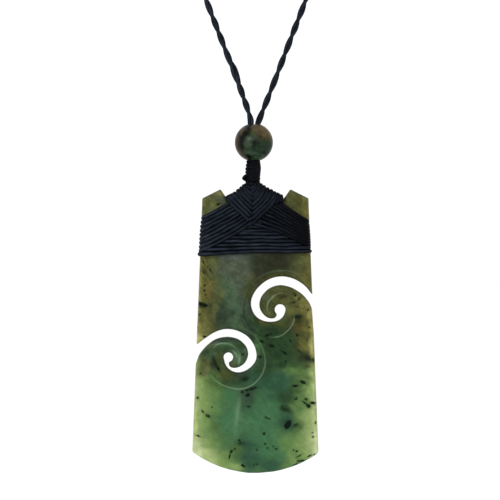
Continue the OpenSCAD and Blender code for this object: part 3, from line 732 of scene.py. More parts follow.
# x, z, half length, half width, lean in degrees
SPECKS = [
    (-16.7, -34.4, 1.1, 0.5, -4), (-15.5, -34.7, 1.1, 0.5, -10), (-15.2, -44.2, 0.5, 0.25, -25),
    (-11.1, -4.6, 0.6, 0.24, 18), (-15.1, -28.8, 0.28, 0.24, 0), (-15.3, -30.4, 0.3, 0.25, 0),
    (-14.9, -31.6, 0.25, 0.2, 0), (-15.5, -25.0, 0.5, 0.16, -60), (-17.2, -24.9, 0.2, 0.3, 0),
    (-16.6, -37.6, 0.25, 0.2, 0), (-17.4, -41.5, 0.2, 0.3, 0), (-15.6, -21.8, 0.8, 0.12, -62),
    (-13.6, -24.2, 0.6, 0.14, -50), (1.8, -45.6, 0.6, 0.3, -20), (4.9, -46.9, 0.75, 0.28, -15),
    (8.5, -48.9, 1.0, 0.26, -36), (10.5, -45.3, 0.28, 0.25, 0), (12.5, -43.8, 0.3, 0.25, 0),
    (3.6, -43.7, 0.7, 0.22, 22), (1.4, -50.2, 0.42, 0.36, 0), (-3.8, -49.5, 0.3, 0.26, 0),
    (15.7, -36.2, 0.25, 0.25, 0), (16.1, -41.4, 0.28, 0.22, 0), (17.4, -51.2, 0.6, 0.25, 90),
    (9.1, -51.6, 0.22, 0.22, 0), (-11.0, -53.9, 0.7, 0.3, -55), (-16.4, -55.2, 0.22, 0.22, 0),
    (-17.3, -62.5, 0.32, 0.28, 0), (-14.1, -67.9, 0.7, 0.34, -30), (-15.7, -66.6, 0.35, 0.18, -50),
    (-13.0, -65.3, 0.2, 0.2, 0), (-17.1, -73.9, 0.5, 0.16, -22), (-3.9, -60.7, 0.32, 0.28, 0),
    (-2.4, -60.2, 0.42, 0.24, 0), (-1.3, -59.7, 0.4, 0.24, -30), (-0.2, -59.5, 0.5, 0.22, 10),
    (-2.3, -61.6, 0.6, 0.42, 30), (-2.0, -65.1, 0.4, 0.2, 0), (3.3, -68.4, 0.55, 0.22, -25),
    (4.2, -68.8, 0.25, 0.16, 0), (2.6, -73.2, 0.38, 0.34, 0), (-4.8, -75.2, 0.32, 0.3, 0),
    (-4.6, -76.0, 0.25, 0.22, 0), (-6.2, -77.8, 0.25, 0.22, 0), (-7.2, -78.6, 0.5, 0.36, 60),
    (-7.7, -80.0, 0.6, 0.22, 78), (-3.7, -82.8, 0.55, 0.3, -35), (-0.5, -82.6, 0.2, 0.2, 0),
    (0.5, -82.4, 0.2, 0.2, 0), (3.0, -76.3, 0.28, 0.26, 0), (3.6, -77.4, 0.2, 0.2, 0),
    (5.4, -77.0, 0.2, 0.2, 0), (6.2, -77.8, 0.3, 0.24, 0), (0.4, -78.1, 0.18, 0.18, 0),
    (9.7, -70.5, 1.3, 0.8, 60), (12.0, -70.5, 0.4, 0.16, 28), (12.1, -62.8, 0.42, 0.26, 20),
    (11.9, -58.9, 0.75, 0.34, 8), (14.3, -57.8, 0.9, 0.34, -22), (15.2, -62.9, 0.45, 0.24, -15),
    (14.9, -64.1, 0.7, 0.17, -38), (15.9, -64.9, 0.7, 0.5, -30), (17.2, -64.0, 0.75, 0.34, -5),
    (18.0, -69.9, 0.3, 0.2, 80), (17.1, -72.9, 0.22, 0.2, 0), (17.2, -74.2, 0.25, 0.22, 0),
    (12.3, -78.5, 0.3, 0.2, 0), (11.4, -78.1, 0.2, 0.2, 0), (16.4, -79.8, 0.5, 0.16, 25),
    (17.6, -79.5, 0.3, 0.18, 25), (13.1, -79.9, 0.5, 0.14, 30), (14.2, -81.4, 0.8, 0.24, 5),
    (12.1, -82.6, 0.6, 0.2, 22), (12.8, -81.5, 0.3, 0.2, 0), (11.9, -31.9, 0.3, 0.24, 0),
    (-12.6, -44.0, 0.2, 0.18, 0),
]


def speck_gap(x, z):
    """Distance from each point to the nearest speck, in millimetres, below 0 inside it."""
    nearest = np.full(len(x), FAR)
    for speck in SPECKS:
        width = speck[3]
        nearest = np.minimum(nearest, (np.hypot(*slash(x, z, *speck)) - 1) * width)
    return nearest


store(blade, {"speck": speck_gap(x, z)})
print(f"{len(SPECKS)} specks")

# %% [markdown]
# A material is a small network of nodes. These helpers add a node with its settings and links in one
# line, so that the network reads like a recipe.

# %% Node helpers
def put(tree, kind, sockets=None, **options):
    """Adds a node, sets its options, and sets or links its input sockets."""
    made = tree.nodes.new("ShaderNode" + kind)
    for key, value in options.items():
        setattr(made, key, value)
    for key, value in (sockets or {}).items():
        if isinstance(value, bpy.types.NodeSocket):
            tree.links.new(value, made.inputs[key])
        else:
            made.inputs[key].default_value = value
    return made


def layer(tree, name, socket="Fac"):
    """Reads what the mesh keeps under this name."""
    return put(tree, "Attribute", attribute_name=name).outputs[socket]


def ramp(tree, value, low, high):
    """Turns a value into 0 below low and 1 above high. Low may be the larger of the two."""
    return put(tree, "MapRange", {"Value": value, "From Min": low, "From Max": high},
               interpolation_type="SMOOTHSTEP").outputs["Result"]


def sums(tree, operation, first, second):
    """One sum of two numbers."""
    return put(tree, "Math", {0: first, 1: second}, operation=operation).outputs[0]


def times(tree, first, second):
    """One number times another."""
    return sums(tree, "MULTIPLY", first, second)


def rescale(tree, value, start, goal):
    """Carries a value evenly from one range to another."""
    return put(tree, "MapRange", {"Value": value, "From Min": start[0], "From Max": start[1],
                                  "To Min": goal[0], "To Max": goal[1]}).outputs["Result"]


def tint(tree, share, under, over, blend="MIX"):
    """Lays one colour over another. A Mix node takes colours in its sockets 6 and 7, and gives one in 2."""
    return put(tree, "Mix", {0: share, 6: under, 7: over}, data_type="RGBA", blend_type=blend).outputs[2]


def grain(tree, scale, detail=4.0, stretch=(1, 1, 1), turn=(0, 0, 0), rough=0.55):
    """Noise on the piece's own coordinates. Scale counts lumps in a metre, and stretch makes them longer."""
    spot = put(tree, "TexCoord").outputs["Object"]
    spot = put(tree, "Mapping", {"Vector": spot, "Rotation": turn, "Scale": stretch},
               vector_type="TEXTURE").outputs["Vector"]
    return put(tree, "TexNoise", {"Vector": spot, "Scale": scale, "Detail": detail,
                                  "Roughness": rough}).outputs["Fac"]


def new_material(name, **finish):
    """A material with its Principled shader, whose even values are set on the shader itself."""
    material = bpy.data.materials.new(name)
    material.use_nodes = True
    shader = material.node_tree.nodes["Principled BSDF"]
    for key, value in finish.items():
        shader.inputs[key.replace("_", " ")].default_value = value
    return material, material.node_tree, shader


def opaque(colour):
    """A colour with its fourth value."""
    return (*colour, 1.0)


def surface(tree, shader, colour, dull, height, strength, depth):
    """Gives the shader its colour, its uneven gloss and a relief of this depth in millimetres."""
    bump = put(tree, "Bump", {"Height": height, "Strength": strength, "Distance": depth * MM})
    for value, socket in ((colour, "Base Color"), (dull, "Roughness"), (bump.outputs["Normal"], "Normal")):
        tree.links.new(value, shader.inputs[socket])


print("node helpers are ready")

# %% [markdown]
# The polished jade takes the charted tone and breaks it up twice: soft mottling a few millimetres wide, and
# finer silky streaks that lean across the stone. Over it go coats of other tones: dark dust, the veils with
# their painted highlights along crests and the painted shade on the ears' edges, the specks with their soft
# haloes, and the ridges' lines of painted highlight and painted shade. Last come the thin edges, painted paler
# for the light that comes through them. A little subsurface light gives the depth of a translucent stone.

# %% Polished jade
PATCHES = ((0.45, 0.5, 0.45), (1.5, 1.45, 1.4))      # what a dark patch and a light one do to the tone
SILK = ((0.5, 0.52, 0.5), (1.45, 1.4, 1.3))          # and what the silky streaks do
# The milky tone serves the pale veils and the painted highlights along crests; the smoky tone the dark
# streaks, and the painted shade on the ears' edges and along the ridges.
DUST, SMOKY_AND_SHADE, MILKY_AND_HIGHLIGHT = (34, 40, 26), (24, 36, 26), (140, 175, 140)
# The last of these is the colour of the painted highlight along the ridges.
HALO, BLACK_GREEN, CREST_HIGHLIGHT = (30, 46, 30), (8, 26, 12), (158, 182, 150)
SPECK_RAGGED = 0.8        # how far noise shifts the edge of a speck, in millimetres
HALO_SHARE, SPECK_SHARE = 0.3, 0.97
# How much painted highlight and painted shade the ridges' lines lay on.
RIDGE_HIGHLIGHT, RIDGE_SHADE = 0.3, -0.6
# The thin edges are painted paler, as light that comes through them.
THIN_EDGE_GLOW, THIN_GLOW_SHARE = (1.45, 1.4, 1.35), 0.5


def jade_stone(name, mottle, streaks):
    """Polished nephrite over the tones that the mesh keeps."""
    material, tree, shader = new_material(
        name, Roughness=0.24, IOR=1.55, Specular_IOR_Level=0.05, Subsurface_Weight=0.12,
        Subsurface_Scale=0.0009, Subsurface_Radius=(0.7, 1.0, 0.6))
    colour = layer(tree, "tone", "Color")
    pepper, veil_and_painted_light = layer(tree, "pepper"), layer(tree, "veil_and_painted_light")
    cloudy = rescale(tree, pepper, (0.1, 0.5), (0.5, 1.0))
    soft = ramp(tree, grain(tree, 420, 6, rough=0.66), 0.3, 0.7)
    silk = ramp(tree, grain(tree, 1100, 4, (1, 1, 2.2), (0, -0.9, 0)), 0.3, 0.72)
    for share, pattern, (darker, lighter) in ((mottle, soft, PATCHES), (streaks, silk, SILK)):
        shade = tint(tree, pattern, opaque(darker), opaque(lighter))
        colour = tint(tree, times(tree, cloudy, share), colour, shade, "MULTIPLY")
    dust = times(tree, ramp(tree, grain(tree, 1900, 5, rough=0.7), 0.55, 0.68), pepper)
    ragged = times(tree, sums(tree, "SUBTRACT", grain(tree, 2800, 3), 0.5), SPECK_RAGGED)
    speck = sums(tree, "ADD", layer(tree, "speck"), ragged)
    # The veil layer lays on painted highlights along crests with its pale side, and the painted shade of the
    # ears' edges with its dark side, besides the stone's own veils and streaks.
    coats = [(dust, DUST), (ramp(tree, veil_and_painted_light, 0.0, 1.0), MILKY_AND_HIGHLIGHT), (ramp(tree, veil_and_painted_light, 0.0, -0.9), SMOKY_AND_SHADE),
             (times(tree, ramp(tree, speck, 0.4, 0.08), HALO_SHARE), HALO),
             (times(tree, ramp(tree, speck, 0.12, 0.0), SPECK_SHARE), BLACK_GREEN)]
    # Lines of painted highlight and painted shade along the ridges and the tongues' crests.
    for ridge in ("ridge", "tongue"):
        gap = put(tree, "Math", {0: layer(tree, ridge + "_gap")}, operation="ABSOLUTE").outputs[0]
        line = times(tree, ramp(tree, gap, 0.34, 0.06), layer(tree, ridge + "_painted_light"))
        coats += [(times(tree, line, RIDGE_HIGHLIGHT), CREST_HIGHLIGHT), (times(tree, line, RIDGE_SHADE), SMOKY_AND_SHADE)]
    for share, look in coats:
        colour = tint(tree, share, colour, opaque(seen(*look)))
    # Painted light: the thin edges are made paler, as light comes through them.
    thin_edge_glow = times(tree, layer(tree, "thin_edge_glow"), THIN_GLOW_SHARE)
    colour = tint(tree, thin_edge_glow, colour, opaque(THIN_EDGE_GLOW), "MULTIPLY")
    dull = rescale(tree, grain(tree, 700, 3), (0, 1), (0.17, 0.34))
    surface(tree, shader, colour, dull, grain(tree, 260, 6), 0.12, 0.2)
    return material


blade.data.materials.append(jade_stone("polished_jade", 0.55, 0.34))
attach(blade, "root")
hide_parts("jade_blade")
print("blade polished")

# %% [markdown]
# The round bead is drilled before it is threaded. A sphere with its poles on the drill's axis makes
# this easy: the caps inside the hole's radius are deleted, and the two open rings are bridged through
# the middle, which is the wall of the hole. The rims are then bevelled, as the drill's edge is broken.

# %% Drill the bead
BORE_R = 1.95
BEAD_SEGMENTS = 160
BEAD_RINGS = 120
RIM_BEVEL = 0.14

bpy.ops.mesh.primitive_uv_sphere_add(segments=BEAD_SEGMENTS, ring_count=BEAD_RINGS, radius=bead_r * MM,
                                     location=place(bead_x, bead_z))
bead = settle(bpy.context.object)
bead.name = "drilled_bead"
bead_middle = place(bead_x, bead_z)
edit_points(bead, lambda spot: (spot.xy - bead_middle.xy).length < BORE_R * MM)
bpy.ops.mesh.delete(type="VERT")
bpy.ops.mesh.select_mode(type="EDGE")
bpy.ops.mesh.select_non_manifold()
bpy.ops.mesh.bridge_edge_loops()
bpy.ops.mesh.select_non_manifold()
bpy.ops.object.mode_set(mode="OBJECT")
finish_with(bead, "BEVEL", width=RIM_BEVEL * MM, segments=3, limit_method="ANGLE",
            angle_limit=math.radians(40))
bpy.ops.object.shade_smooth_by_angle(angle=math.radians(50))
print(f"bead with a {2 * BORE_R:.1f} mm hole, {len(bead.data.polygons)} faces")

# %% [markdown]
# The bead is another piece of the same stone, cut where brown rind meets dark green. Its clouds are
# charted on the front as it hangs, and the back carries them on with the sides changed over.

# %% Colour the bead
TONES.update({
    "taupe": seen(54, 46, 35), "rose": seen(76, 66, 54), "ink": seen(18, 24, 22), "sage": seen(58, 72, 58),
    "bottle": seen(38, 53, 40), "glade": seen(52, 71, 54), "tan": seen(90, 77, 54),
})
BEAD_BEND = (0.5, 0.9)
BEAD_DUST = 0.3
# As on the blade, but x and z are counted from the middle of the bead.
BEAD_CLOUDS = {
    "taupe": [(-5.2, 1.5, 0.9, 3.0, 2.2), (-5.0, -1.8, 0.8, 1.6, 1.4)],
    "tan": [(-3.9, 3.2, 0.5, 1.3, 1.6), (0.4, 4.5, 0.9, 0.5, 1.4), (2.0, 3.7, 1.3, 1.0, 2.4),
        (3.2, 2.6, 1.1, 1.1, 2.4), (4.7, 1.6, 0.6, 1.0, 0.8)],
    "rose": [(-3.2, 4.0, 0.9, 0.7, 1.2), (-4.2, -3.4, 0.7, 1.2, 1.4), (-3.0, -4.8, 0.7, 0.6, 1.4),
        (0.2, 4.3, 1.1, 0.6, 2.0), (1.9, 4.7, 0.4, 0.3, 1.6), (-5.0, 1.3, 0.5, 0.9, 1.6)],
    "ink": [(-3.7, -1.2, 0.55, 2.0, 3.0), (-3.6, 1.0, 0.55, 1.0, 3.2), (-2.5, 2.4, 0.9, 0.7, 4.0),
        (-1.6, 4.2, 0.6, 0.9, 1.8), (-1.0, 5.3, 0.6, 0.6, 1.6), (0.3, -1.2, 0.6, 0.5, 1.4),
        (0.1, -0.2, 0.42, 0.42, 3.4), (1.4, -0.4, 0.8, 0.4, 1.2), (3.4, -3.6, 0.9, 0.5, 1.8),
        (-1.6, -4.6, 1.2, 0.5, 1.8)],
    "umber": [(1.7, 3.2, 0.35, 0.8, 1.4), (2.0, 1.3, 1.2, 0.8, 1.6)],
    "moss": [(4.5, 0.6, 0.8, 0.8, 1.2), (0.1, 2.5, 0.6, 0.4, 1.4)],
    "sage": [(-1.4, 1.0, 0.8, 0.9, 2.4), (-0.2, 1.2, 0.8, 0.7, 2.6), (-2.0, -0.7, 1.0, 0.7, 2.0),
        (-1.3, -1.1, 0.7, 0.5, 1.4), (-0.3, -3.4, 0.9, 0.4, 1.0)],
    "bottle": [(2.6, -0.6, 1.6, 1.0, 1.8), (4.6, -1.2, 0.9, 1.6, 1.6), (1.8, -2.2, 1.8, 0.9, 1.8),
        (-1.6, -2.4, 2.0, 0.5, 1.4)],
    "glade": [(3.2, -0.7, 0.5, 0.35, 0.9), (-2.0, -3.0, 1.1, 0.5, 1.0), (2.2, -3.9, 0.9, 0.4, 1.1),
        (1.0, -4.9, 1.6, 0.6, 1.4)],
}

bead_points = np.array([v.co for v in bead.data.vertices]) / MM
round_x = bead_points[:, 0] - bead_x
round_z = bead_points[:, 2] - ear_z - bead_z
at_back = bead_points[:, 1] > middle_y
store(bead, {
    "tone": mixed_clouds(BEAD_CLOUDS, np.where(at_back, -round_x, round_x), round_z, *BEAD_BEND),
    "speck": FAR, "ridge_gap": FAR, "ridge_painted_light": 0.0, "tongue_gap": FAR, "tongue_painted_light": 0.0, "thin_edge_glow": 0.0,
    "veil_and_painted_light": 0.0, "pepper": BEAD_DUST,
})
bead.data.materials.append(jade_stone("bead_stone", 0.42, 0.45))
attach(bead, "root")
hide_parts("jade_bead")
print(f"{sum(len(spots) for spots in BEAD_CLOUDS.values())} clouds on the bead")

# %% [markdown]
# All the black cord is one kind: a strand about a millimetre thick, drawn through wax. Every stretch
# of it is a round tube swept along its path, so one function makes them all. It also writes a UV map,
# with millimetres along the strand and turns round it, for the fibres to follow.

# %% Sweep a strand
ASKEW = (0.3, 0.2, 0.9)   # a direction in which no path starts


def sweep(path, radius, closed, sides=8):
    """Points, faces and UV places of a tube along a path, in millimetres. The radius is one number, or one
    for each point of the path."""
    path = np.asarray(path, float)
    count = len(path)
    radii = np.broadcast_to(radius, count)
    ahead = np.roll(path, -1, axis=0)
    behind = np.roll(path, 1, axis=0)
    if not closed:
        ahead[-1], behind[0] = path[-1], path[0]
    along = ahead - behind
    along /= np.linalg.norm(along, axis=1)[:, None]
    rings, side = [], np.cross(along[0], ASKEW)
    for spot, way, thick in zip(path, along, radii):
        side = side - way * np.dot(side, way)
        side /= np.linalg.norm(side)
        up = np.cross(way, side)
        turns = 2 * math.pi * np.arange(sides) / sides
        rings.append(spot + thick * (np.cos(turns)[:, None] * side + np.sin(turns)[:, None] * up))
    step = np.linalg.norm(ahead - path, axis=1)
    walked = np.concatenate([[0], np.cumsum(step)])
    faces, places = [], []
    for ring in range(count if closed else count - 1):
        after = (ring + 1) % count
        for s in range(sides):
            t = (s + 1) % sides
            faces.append((ring * sides + s, after * sides + s, after * sides + t, ring * sides + t))
            u, v = (walked[ring], walked[ring + 1]), (s / sides, (s + 1) / sides)
            places += [(u[0], v[0]), (u[1], v[0]), (u[1], v[1]), (u[0], v[1])]
    if not closed:
        faces += [tuple(range(sides)), tuple((count - 1) * sides + s for s in reversed(range(sides)))]
        places += [(0, 0)] * sides + [(walked[-1], 0)] * sides
    return np.vstack(rings), faces, places


STRAND_STEP = 97.0        # each strand starts this far along the fibre pattern, so that no two look alike


def tie(name, strands):
    """Joins several swept strands into one piece."""
    points, faces, places = [], [], []
    for more_points, more_faces, more_places in strands:
        start = sum(len(p) for p in points)
        points.append(more_points)
        faces += [tuple(start + corner for corner in face) for face in more_faces]
        places += [(u + STRAND_STEP * len(points), v) for u, v in more_places]
    mesh = bpy.data.meshes.new(name)
    points = np.vstack(points)
    mesh.from_pydata([tuple(p) for p in points * MM], [], faces)
    uv = mesh.uv_layers.new(name="strand")
    uv.data.foreach_set("uv", np.array(places).ravel())
    piece = bpy.data.objects.new(name, mesh)
    bpy.context.scene.collection.objects.link(piece)
    pick(piece)
    bpy.ops.object.shade_smooth()
    return piece


def hang(rows):
    """Pendant places (x, y, z) as rows in the shared frame, still in millimetres."""
    return np.array(rows, float) + (0, middle_y, ear_z)


print("strands can be swept")

# %% [markdown]
# The level turns go on first. Seen from above each one is a flat oblong ring round the waist, so one
# function lays any turn: along the front, round a corner, across the side and back. The two lowest are
# wound last, over the ends of the slanting turns, so at the sides they lie one strand further out. Hand
# winding is never quite level, and a slow noise along each turn shows that.

# %% Wind the level turns
LEVEL_TURNS = 9
LEVEL_PITCH = 1.05
LEVEL_FOOT_Z = -18.66
LEVEL_TILT = 0.05         # left of the middle the lowest turn hangs lower
TILTED_TURNS = 5          # the tilt dies away over this many turns
LEAST_TILT = 0.15
LEVEL_R = 0.58
LEVEL_BEND = 1.9
LEVEL_WOBBLE = 0.32
LEVEL_UNEVEN = 0.09       # how much a turn's thickness varies
FOOT_TURNS = 2            # these are wound last, over the ends of the slanting turns
FOOT_REACH = ((16.65, 16.35), (16.25, 16.05))   # left and right, for the lowest turn and the next
FOOT_LIFT = 0.7           # how much further forward they lie at the sides
LIFTED_PAST = (10.0, 12.5)
FOOT_WOBBLE = 0.12
FOOT_FULLER = 0.12        # and how much thicker they are at the left
FULLER_PAST = (8.0, 13.0)
CLEAR = 0.08


def seat(x, z, strand_r):
    """How far before the blade's middle plane a strand lies that rests on its face."""
    return dome(x, z) + CLEAR + strand_r


def corner(reach, out, bend, steps):
    """A quarter round in plan, from the front face to the side: (x, depth) for a positive side."""
    turns = np.linspace(0, math.pi / 2, steps)
    return [(reach - bend + bend * math.sin(t), out - bend + bend * math.cos(t)) for t in turns]


def level_ring(turn):
    """The middle line of one level turn."""
    foot = turn < FOOT_TURNS
    lift, wobble = (FOOT_LIFT, FOOT_WOBBLE) if foot else (0.0, LEVEL_WOBBLE)
    plan = []
    for side in (-1, 1):
        reach = FOOT_REACH[turn][side > 0] if foot else WAIST_HALF + CLEAR + LEVEL_R
        out = seat(WAIST_HALF, LEVEL_FOOT_Z, LEVEL_R) + lift
        plan.append([(side * across, depth) for across, depth in corner(reach, out, LEVEL_BEND, 9)])
    (left, right), front = plan, []
    for x in np.linspace(left[0][0], right[0][0], 90)[1:-1]:
        front.append((x, seat(x, LEVEL_FOOT_Z, LEVEL_R) + lift * float(fade(abs(x), *LIFTED_PAST))))
    half_round = left[::-1] + front + right
    tilt = LEVEL_TILT * max(LEAST_TILT, 1 - turn / TILTED_TURNS)
    rows = []
    for face, half in ((-1, half_round), (1, half_round[::-1])):
        for x, out in half:
            z = LEVEL_FOOT_Z + LEVEL_PITCH * turn + tilt * min(x, 0)
            z += wobble * noise.noise(Vector((x * 0.16, face * out * 0.3, turn * 5.3)))
            rows.append((x, face * out, z))
    return hang(rows)


strands = []
for turn in range(LEVEL_TURNS):
    ring = level_ring(turn)
    if turn < FOOT_TURNS:
        thicker = FOOT_FULLER * fade(-ring[:, 0], *FULLER_PAST)
    else:
        waves = [noise.noise(Vector((x * 0.2, turn * 3.1, 7.0))) for x in ring[:, 0]]
        thicker = LEVEL_UNEVEN * np.array(waves)
    strands.append(sweep(ring, LEVEL_R + thicker, True))
level = tie("level_turns", strands)
print(f"{LEVEL_TURNS} level turns, {2 * len(level.data.polygons)} triangles")

# %% [markdown]
# Over them go two families of slanting turns. One rises from the left side over the right shoulder,
# the other is its opposite, and above the middle they cross in a neat row of chevrons: right of the
# middle the rising strands lie on top, left of it the others do. Each family is charted in two parts:
# from the side to the middle, where only the lowest and the highest strand are given and the rest are
# spaced evenly between them, and from the middle to the roof, where each strand has its own end and
# bends upwards before it goes over the top.

# %% Chart the slanting turns
SLANT_TURNS = 9
SLANT_R = 0.56
SLANT_REACH = [(-18.5, 15.95), (-14, 15.72), (-11, 15.45), (-8.5, 15.1)]   # height, and reach sideways
LEFT_MORE = 0.3           # the turns bulge a little more on the left
SIDE_BEND = 2.3
SIDE_U = -17              # u counts from the middle, and is below 0 on the side that a family rises from
RISING = {
    "side": 1, "middle": -0.6,
    "lowest": [(SIDE_U, -18.9), (-14.5, -17.6), (-11.8, -16.3), (-8.7, -14.7), (-5.7, -13.1), (-2.7, -11.2),
               (-0.6, -9.9)],
    "highest": [(SIDE_U, -9.5), (-15.4, -8.65), (-13, -7.25), (-10.6, -5.95), (-8.2, -4.55), (-4.5, -2.2),
                (-0.6, 0.65)],
    "ends": (6.6, 5.7, 4.7, 3.6, 2.5, 1.6, 0.9, 0.3, -0.2),
}
FALLING = {
    "side": -1, "middle": 1.1,
    "lowest": [(SIDE_U, -17.3), (-11.9, -14.95), (-5.9, -12.2), (-1, -10.9), (1.1, -10.2)],
    "highest": [(SIDE_U, -11.0), (-15.8, -10.1), (-11.9, -7.4), (-8, -4.75), (-4.5, -2.3), (-1.5, 0),
                (1.1, 1.2)],
    "ends": (8.3, 7.35, 6.25, 5.15, 4.2, 3.45, 2.9, 2.4, 2.0),
}
ROOF = [(-9.5, -2.9), (-8.67, -2.5), (-7.2, -1.9), (-6.2, -1.35), (-4.5, 0.0), (-3.15, 1.1), (-1.9, 1.7),
        (-0.85, 1.9), (0.4, 1.7), (1.3, 1.35), (2.7, 0.5), (4.5, -0.5), (5.9, -1.3), (8.1, -2.3), (8.9, -2.9)]
UNDER_ROOF = 0.06
EVEN_RISE, EVEN_MORE = 0.92, 0.16       # how steeply a strand leaves the middle, and how much more the highest
MOST_EVEN = 0.95
BEND_POWER, POWER_MORE = 6, 2           # how late it bends upwards, and how much later the highest
SMOOTHED_OVER = 11        # points


def slant_height(family, turn, u):
    """Height of one strand between its side and the middle, spaced evenly from lowest to highest."""
    share = turn / (SLANT_TURNS - 1)
    return (1 - share) * charted(family["lowest"], u) + share * charted(family["highest"], u)


def slant_line(family, turn):
    """Where one slanting strand runs on the front: u, and its height."""
    side, middle, end_u = family["side"], family["middle"], family["ends"][turn]
    share = turn / (SLANT_TURNS - 1)
    reach = charted(SLANT_REACH, slant_height(family, turn, SIDE_U)) + (LEFT_MORE if side > 0 else 0.0)
    low_us = np.linspace(SIDE_BEND - reach, middle, 70)
    low_zs = slant_height(family, turn, low_us)
    run, rise = end_u - middle, charted(ROOF, side * end_u) - SLANT_R - UNDER_ROOF - low_zs[-1]
    even = min(MOST_EVEN, (EVEN_RISE + EVEN_MORE * share) * run / rise)
    step = np.linspace(0, 1, 50)[1:]
    high_zs = low_zs[-1] + rise * (even * step + (1 - even) * step ** (BEND_POWER + POWER_MORE * share))
    us, zs = np.concatenate([low_us, middle + run * step]), np.concatenate([low_zs, high_zs])
    padded = np.pad(zs, SMOOTHED_OVER // 2, mode="reflect", reflect_type="odd")
    return us, np.convolve(padded, np.ones(SMOOTHED_OVER) / SMOOTHED_OVER, "valid")


print(f"{SLANT_TURNS} rising and {SLANT_TURNS} falling turns")

# %% Wind the slanting turns
ROOF_DEPTH = [(-25, 9), (-5, 5.7), (-3.2, 5.0), (-1.2, 4.6), (0.6, 3.7), (2.0, 2.6), (3.0, 2.2)]
MEETING = [(-11, -2.3), (-9.9, -2.1), (-8.3, -1.5), (-6, -0.8), (-3, -0.8), (0, -1.3), (3, -1.5)]
ROOF_SPREAD = 0.17        # a strand presses this much wider where it bends over the roof,
SPREAD_ABOVE = (-4.5, -1.5)
SIDE_SPREAD = 0.22        # and this much where it bends round a side
SPREAD_PAST = (13.5, 15.2)
OVER_LEVEL = 1.02         # how much a slanting strand stands out where it rides over the level turns
LEVEL_TOP = (-10.6, -8.8) # heights between which it comes down from them
OVER_SLANT = 0.9          # how much it stands out over the other family
STEPS_OVER = (-0.8, 0.7)  # it steps up where the families meet, from just before to just after
ALWAYS_UNDER = (10.4, 11.2)             # below these depths the falling family stays under the other
TUCKED_IN = 0.8           # how far back a covered strand lies near the roof
TUCKED_ABOVE = (-3.5, -1.0)
SLANT_WOBBLE = 0.13
SHOULDER_MORE = 0.08      # the short strands beside the ears are a little thicker
# For each of them, where it ends on the roof, and where its foot stands, in x and z.
SHOULDER_TURNS = ((6.9, 6.4, -5.2), (7.7, 7.0, -4.6), (-7.0, -6.6, -4.8), (-7.9, -7.3, -4.8))


def over_the_top(front):
    """Carries a strand from the roof in front over to the back, and mirrors the rest of it there."""
    top_x, top_y, top_z = front[-1]
    arch = [(top_x, top_y * math.cos(t), top_z + SLANT_R * math.sin(t))
            for t in np.linspace(0, math.pi, 14)[1:-1]]
    return front + arch + [(x, -y, z) for x, y, z in reversed(front)]


def slant_ring(family, turn):
    """The middle line of one slanting turn."""
    side = family["side"]
    us, zs = slant_line(family, turn)
    xs = side * us
    bed = np.array([seat(min(abs(a), WAIST_HALF), min(b, SADDLE_Z), SLANT_R) for a, b in zip(xs, zs)])
    bed += OVER_LEVEL * (1 - fade(zs, *LEVEL_TOP))
    crossed = fade(side * (xs - charted(MEETING, zs)), *STEPS_OVER)
    if family is FALLING:
        crossed = crossed * (1 - fade(-zs, *ALWAYS_UNDER))
    limit = charted(ROOF_DEPTH, zs) - SLANT_R - TUCKED_IN * (1 - crossed) * fade(zs, *TUCKED_ABOVE)
    out = np.minimum(bed + OVER_SLANT * crossed, limit)
    wobble = np.array([SLANT_WOBBLE * noise.noise(Vector((u * 0.3, turn * 3.1, side * 4.0))) for u in us])
    front = [(a, -b, c) for a, b, c in zip(xs, out, zs + wobble)]
    bend = [(-side * across, -depth, slant_height(family, turn, -across) + wobble[0])
            for across, depth in corner(SIDE_BEND - us[0], out[0], SIDE_BEND, 12)[:0:-1]]
    return hang(over_the_top(bend + front))


def shoulder_turn(end_x, foot_x, foot_z):
    """A short steep strand beside an ear, whose ends go under the slanting turns on both faces."""
    end_z = charted(ROOF, end_x) - SLANT_R
    rows = [(foot_x, -seat(foot_x, foot_z, 0.0), foot_z),
            (foot_x - 0.1, -seat(foot_x, foot_z, 0.9), foot_z + 1.0),
            (end_x + 0.15, -4.2, end_z - 0.9), (end_x, -4.0, end_z)]
    return hang(over_the_top([tuple(row) for row in smooth_curve(rows, 24)]))


def spread(path):
    """The radius of a slanting strand along its path."""
    heights, reaches = path[:, 2] - ear_z, abs(path[:, 0])
    return SLANT_R + ROOF_SPREAD * fade(heights, *SPREAD_ABOVE) + SIDE_SPREAD * fade(reaches, *SPREAD_PAST)


rings = [slant_ring(family, turn) for family in (RISING, FALLING) for turn in range(SLANT_TURNS)]
strands = [sweep(ring, spread(ring), True) for ring in rings]
strands += [sweep(shoulder_turn(*spot), SLANT_R + SHOULDER_MORE, False) for spot in SHOULDER_TURNS]
slant = tie("slanting_turns", strands)
print(f"{len(rings)} slanting turns, {2 * len(slant.data.polygons)} triangles")

# %% [markdown]
# Above the shoulders the ends are gathered and whipped into a stem: one strand wound round and round
# a core, a little tighter towards the bead, with the tucked end showing as a small nub on the left.

# %% Whip the stem
STEM_TURNS = 7
STEPS_A_TURN = 36
STEM_X = -0.76
STEM_FOOT_Z = 1.75
STEM_TOP_Z = 8.9
WHIP_R = 0.58
WHIP_TILT = 0.25          # the turns slope up to the right
WHIP_WOBBLE, WHIP_UNEVEN = 0.12, 0.05   # in height and in radius
STEM_WIDTHS = [(1.5, 2.25), (3.5, 2.3), (6.5, 2.36), (7.6, 2.15), (8.6, 1.98), (10, 1.95)]   # height, radius
CORE_FROM, CORE_TO = -1.5, 9.8
CORE_IN = 0.14            # how far inside the turns' outer side the core stays
CORE_LEANS = (2.5, 7.9)   # heights between which it goes over to the bead's middle
NUB_R = 0.55
NUB = [(-1.9, -1.4, 4.15), (-2.75, -1.1, 3.95), (-3.42, -0.8, 3.4), (-3.42, -0.7, 3.15), (-2.75, -0.4, 2.75),
       (-1.9, -0.2, 2.4)]

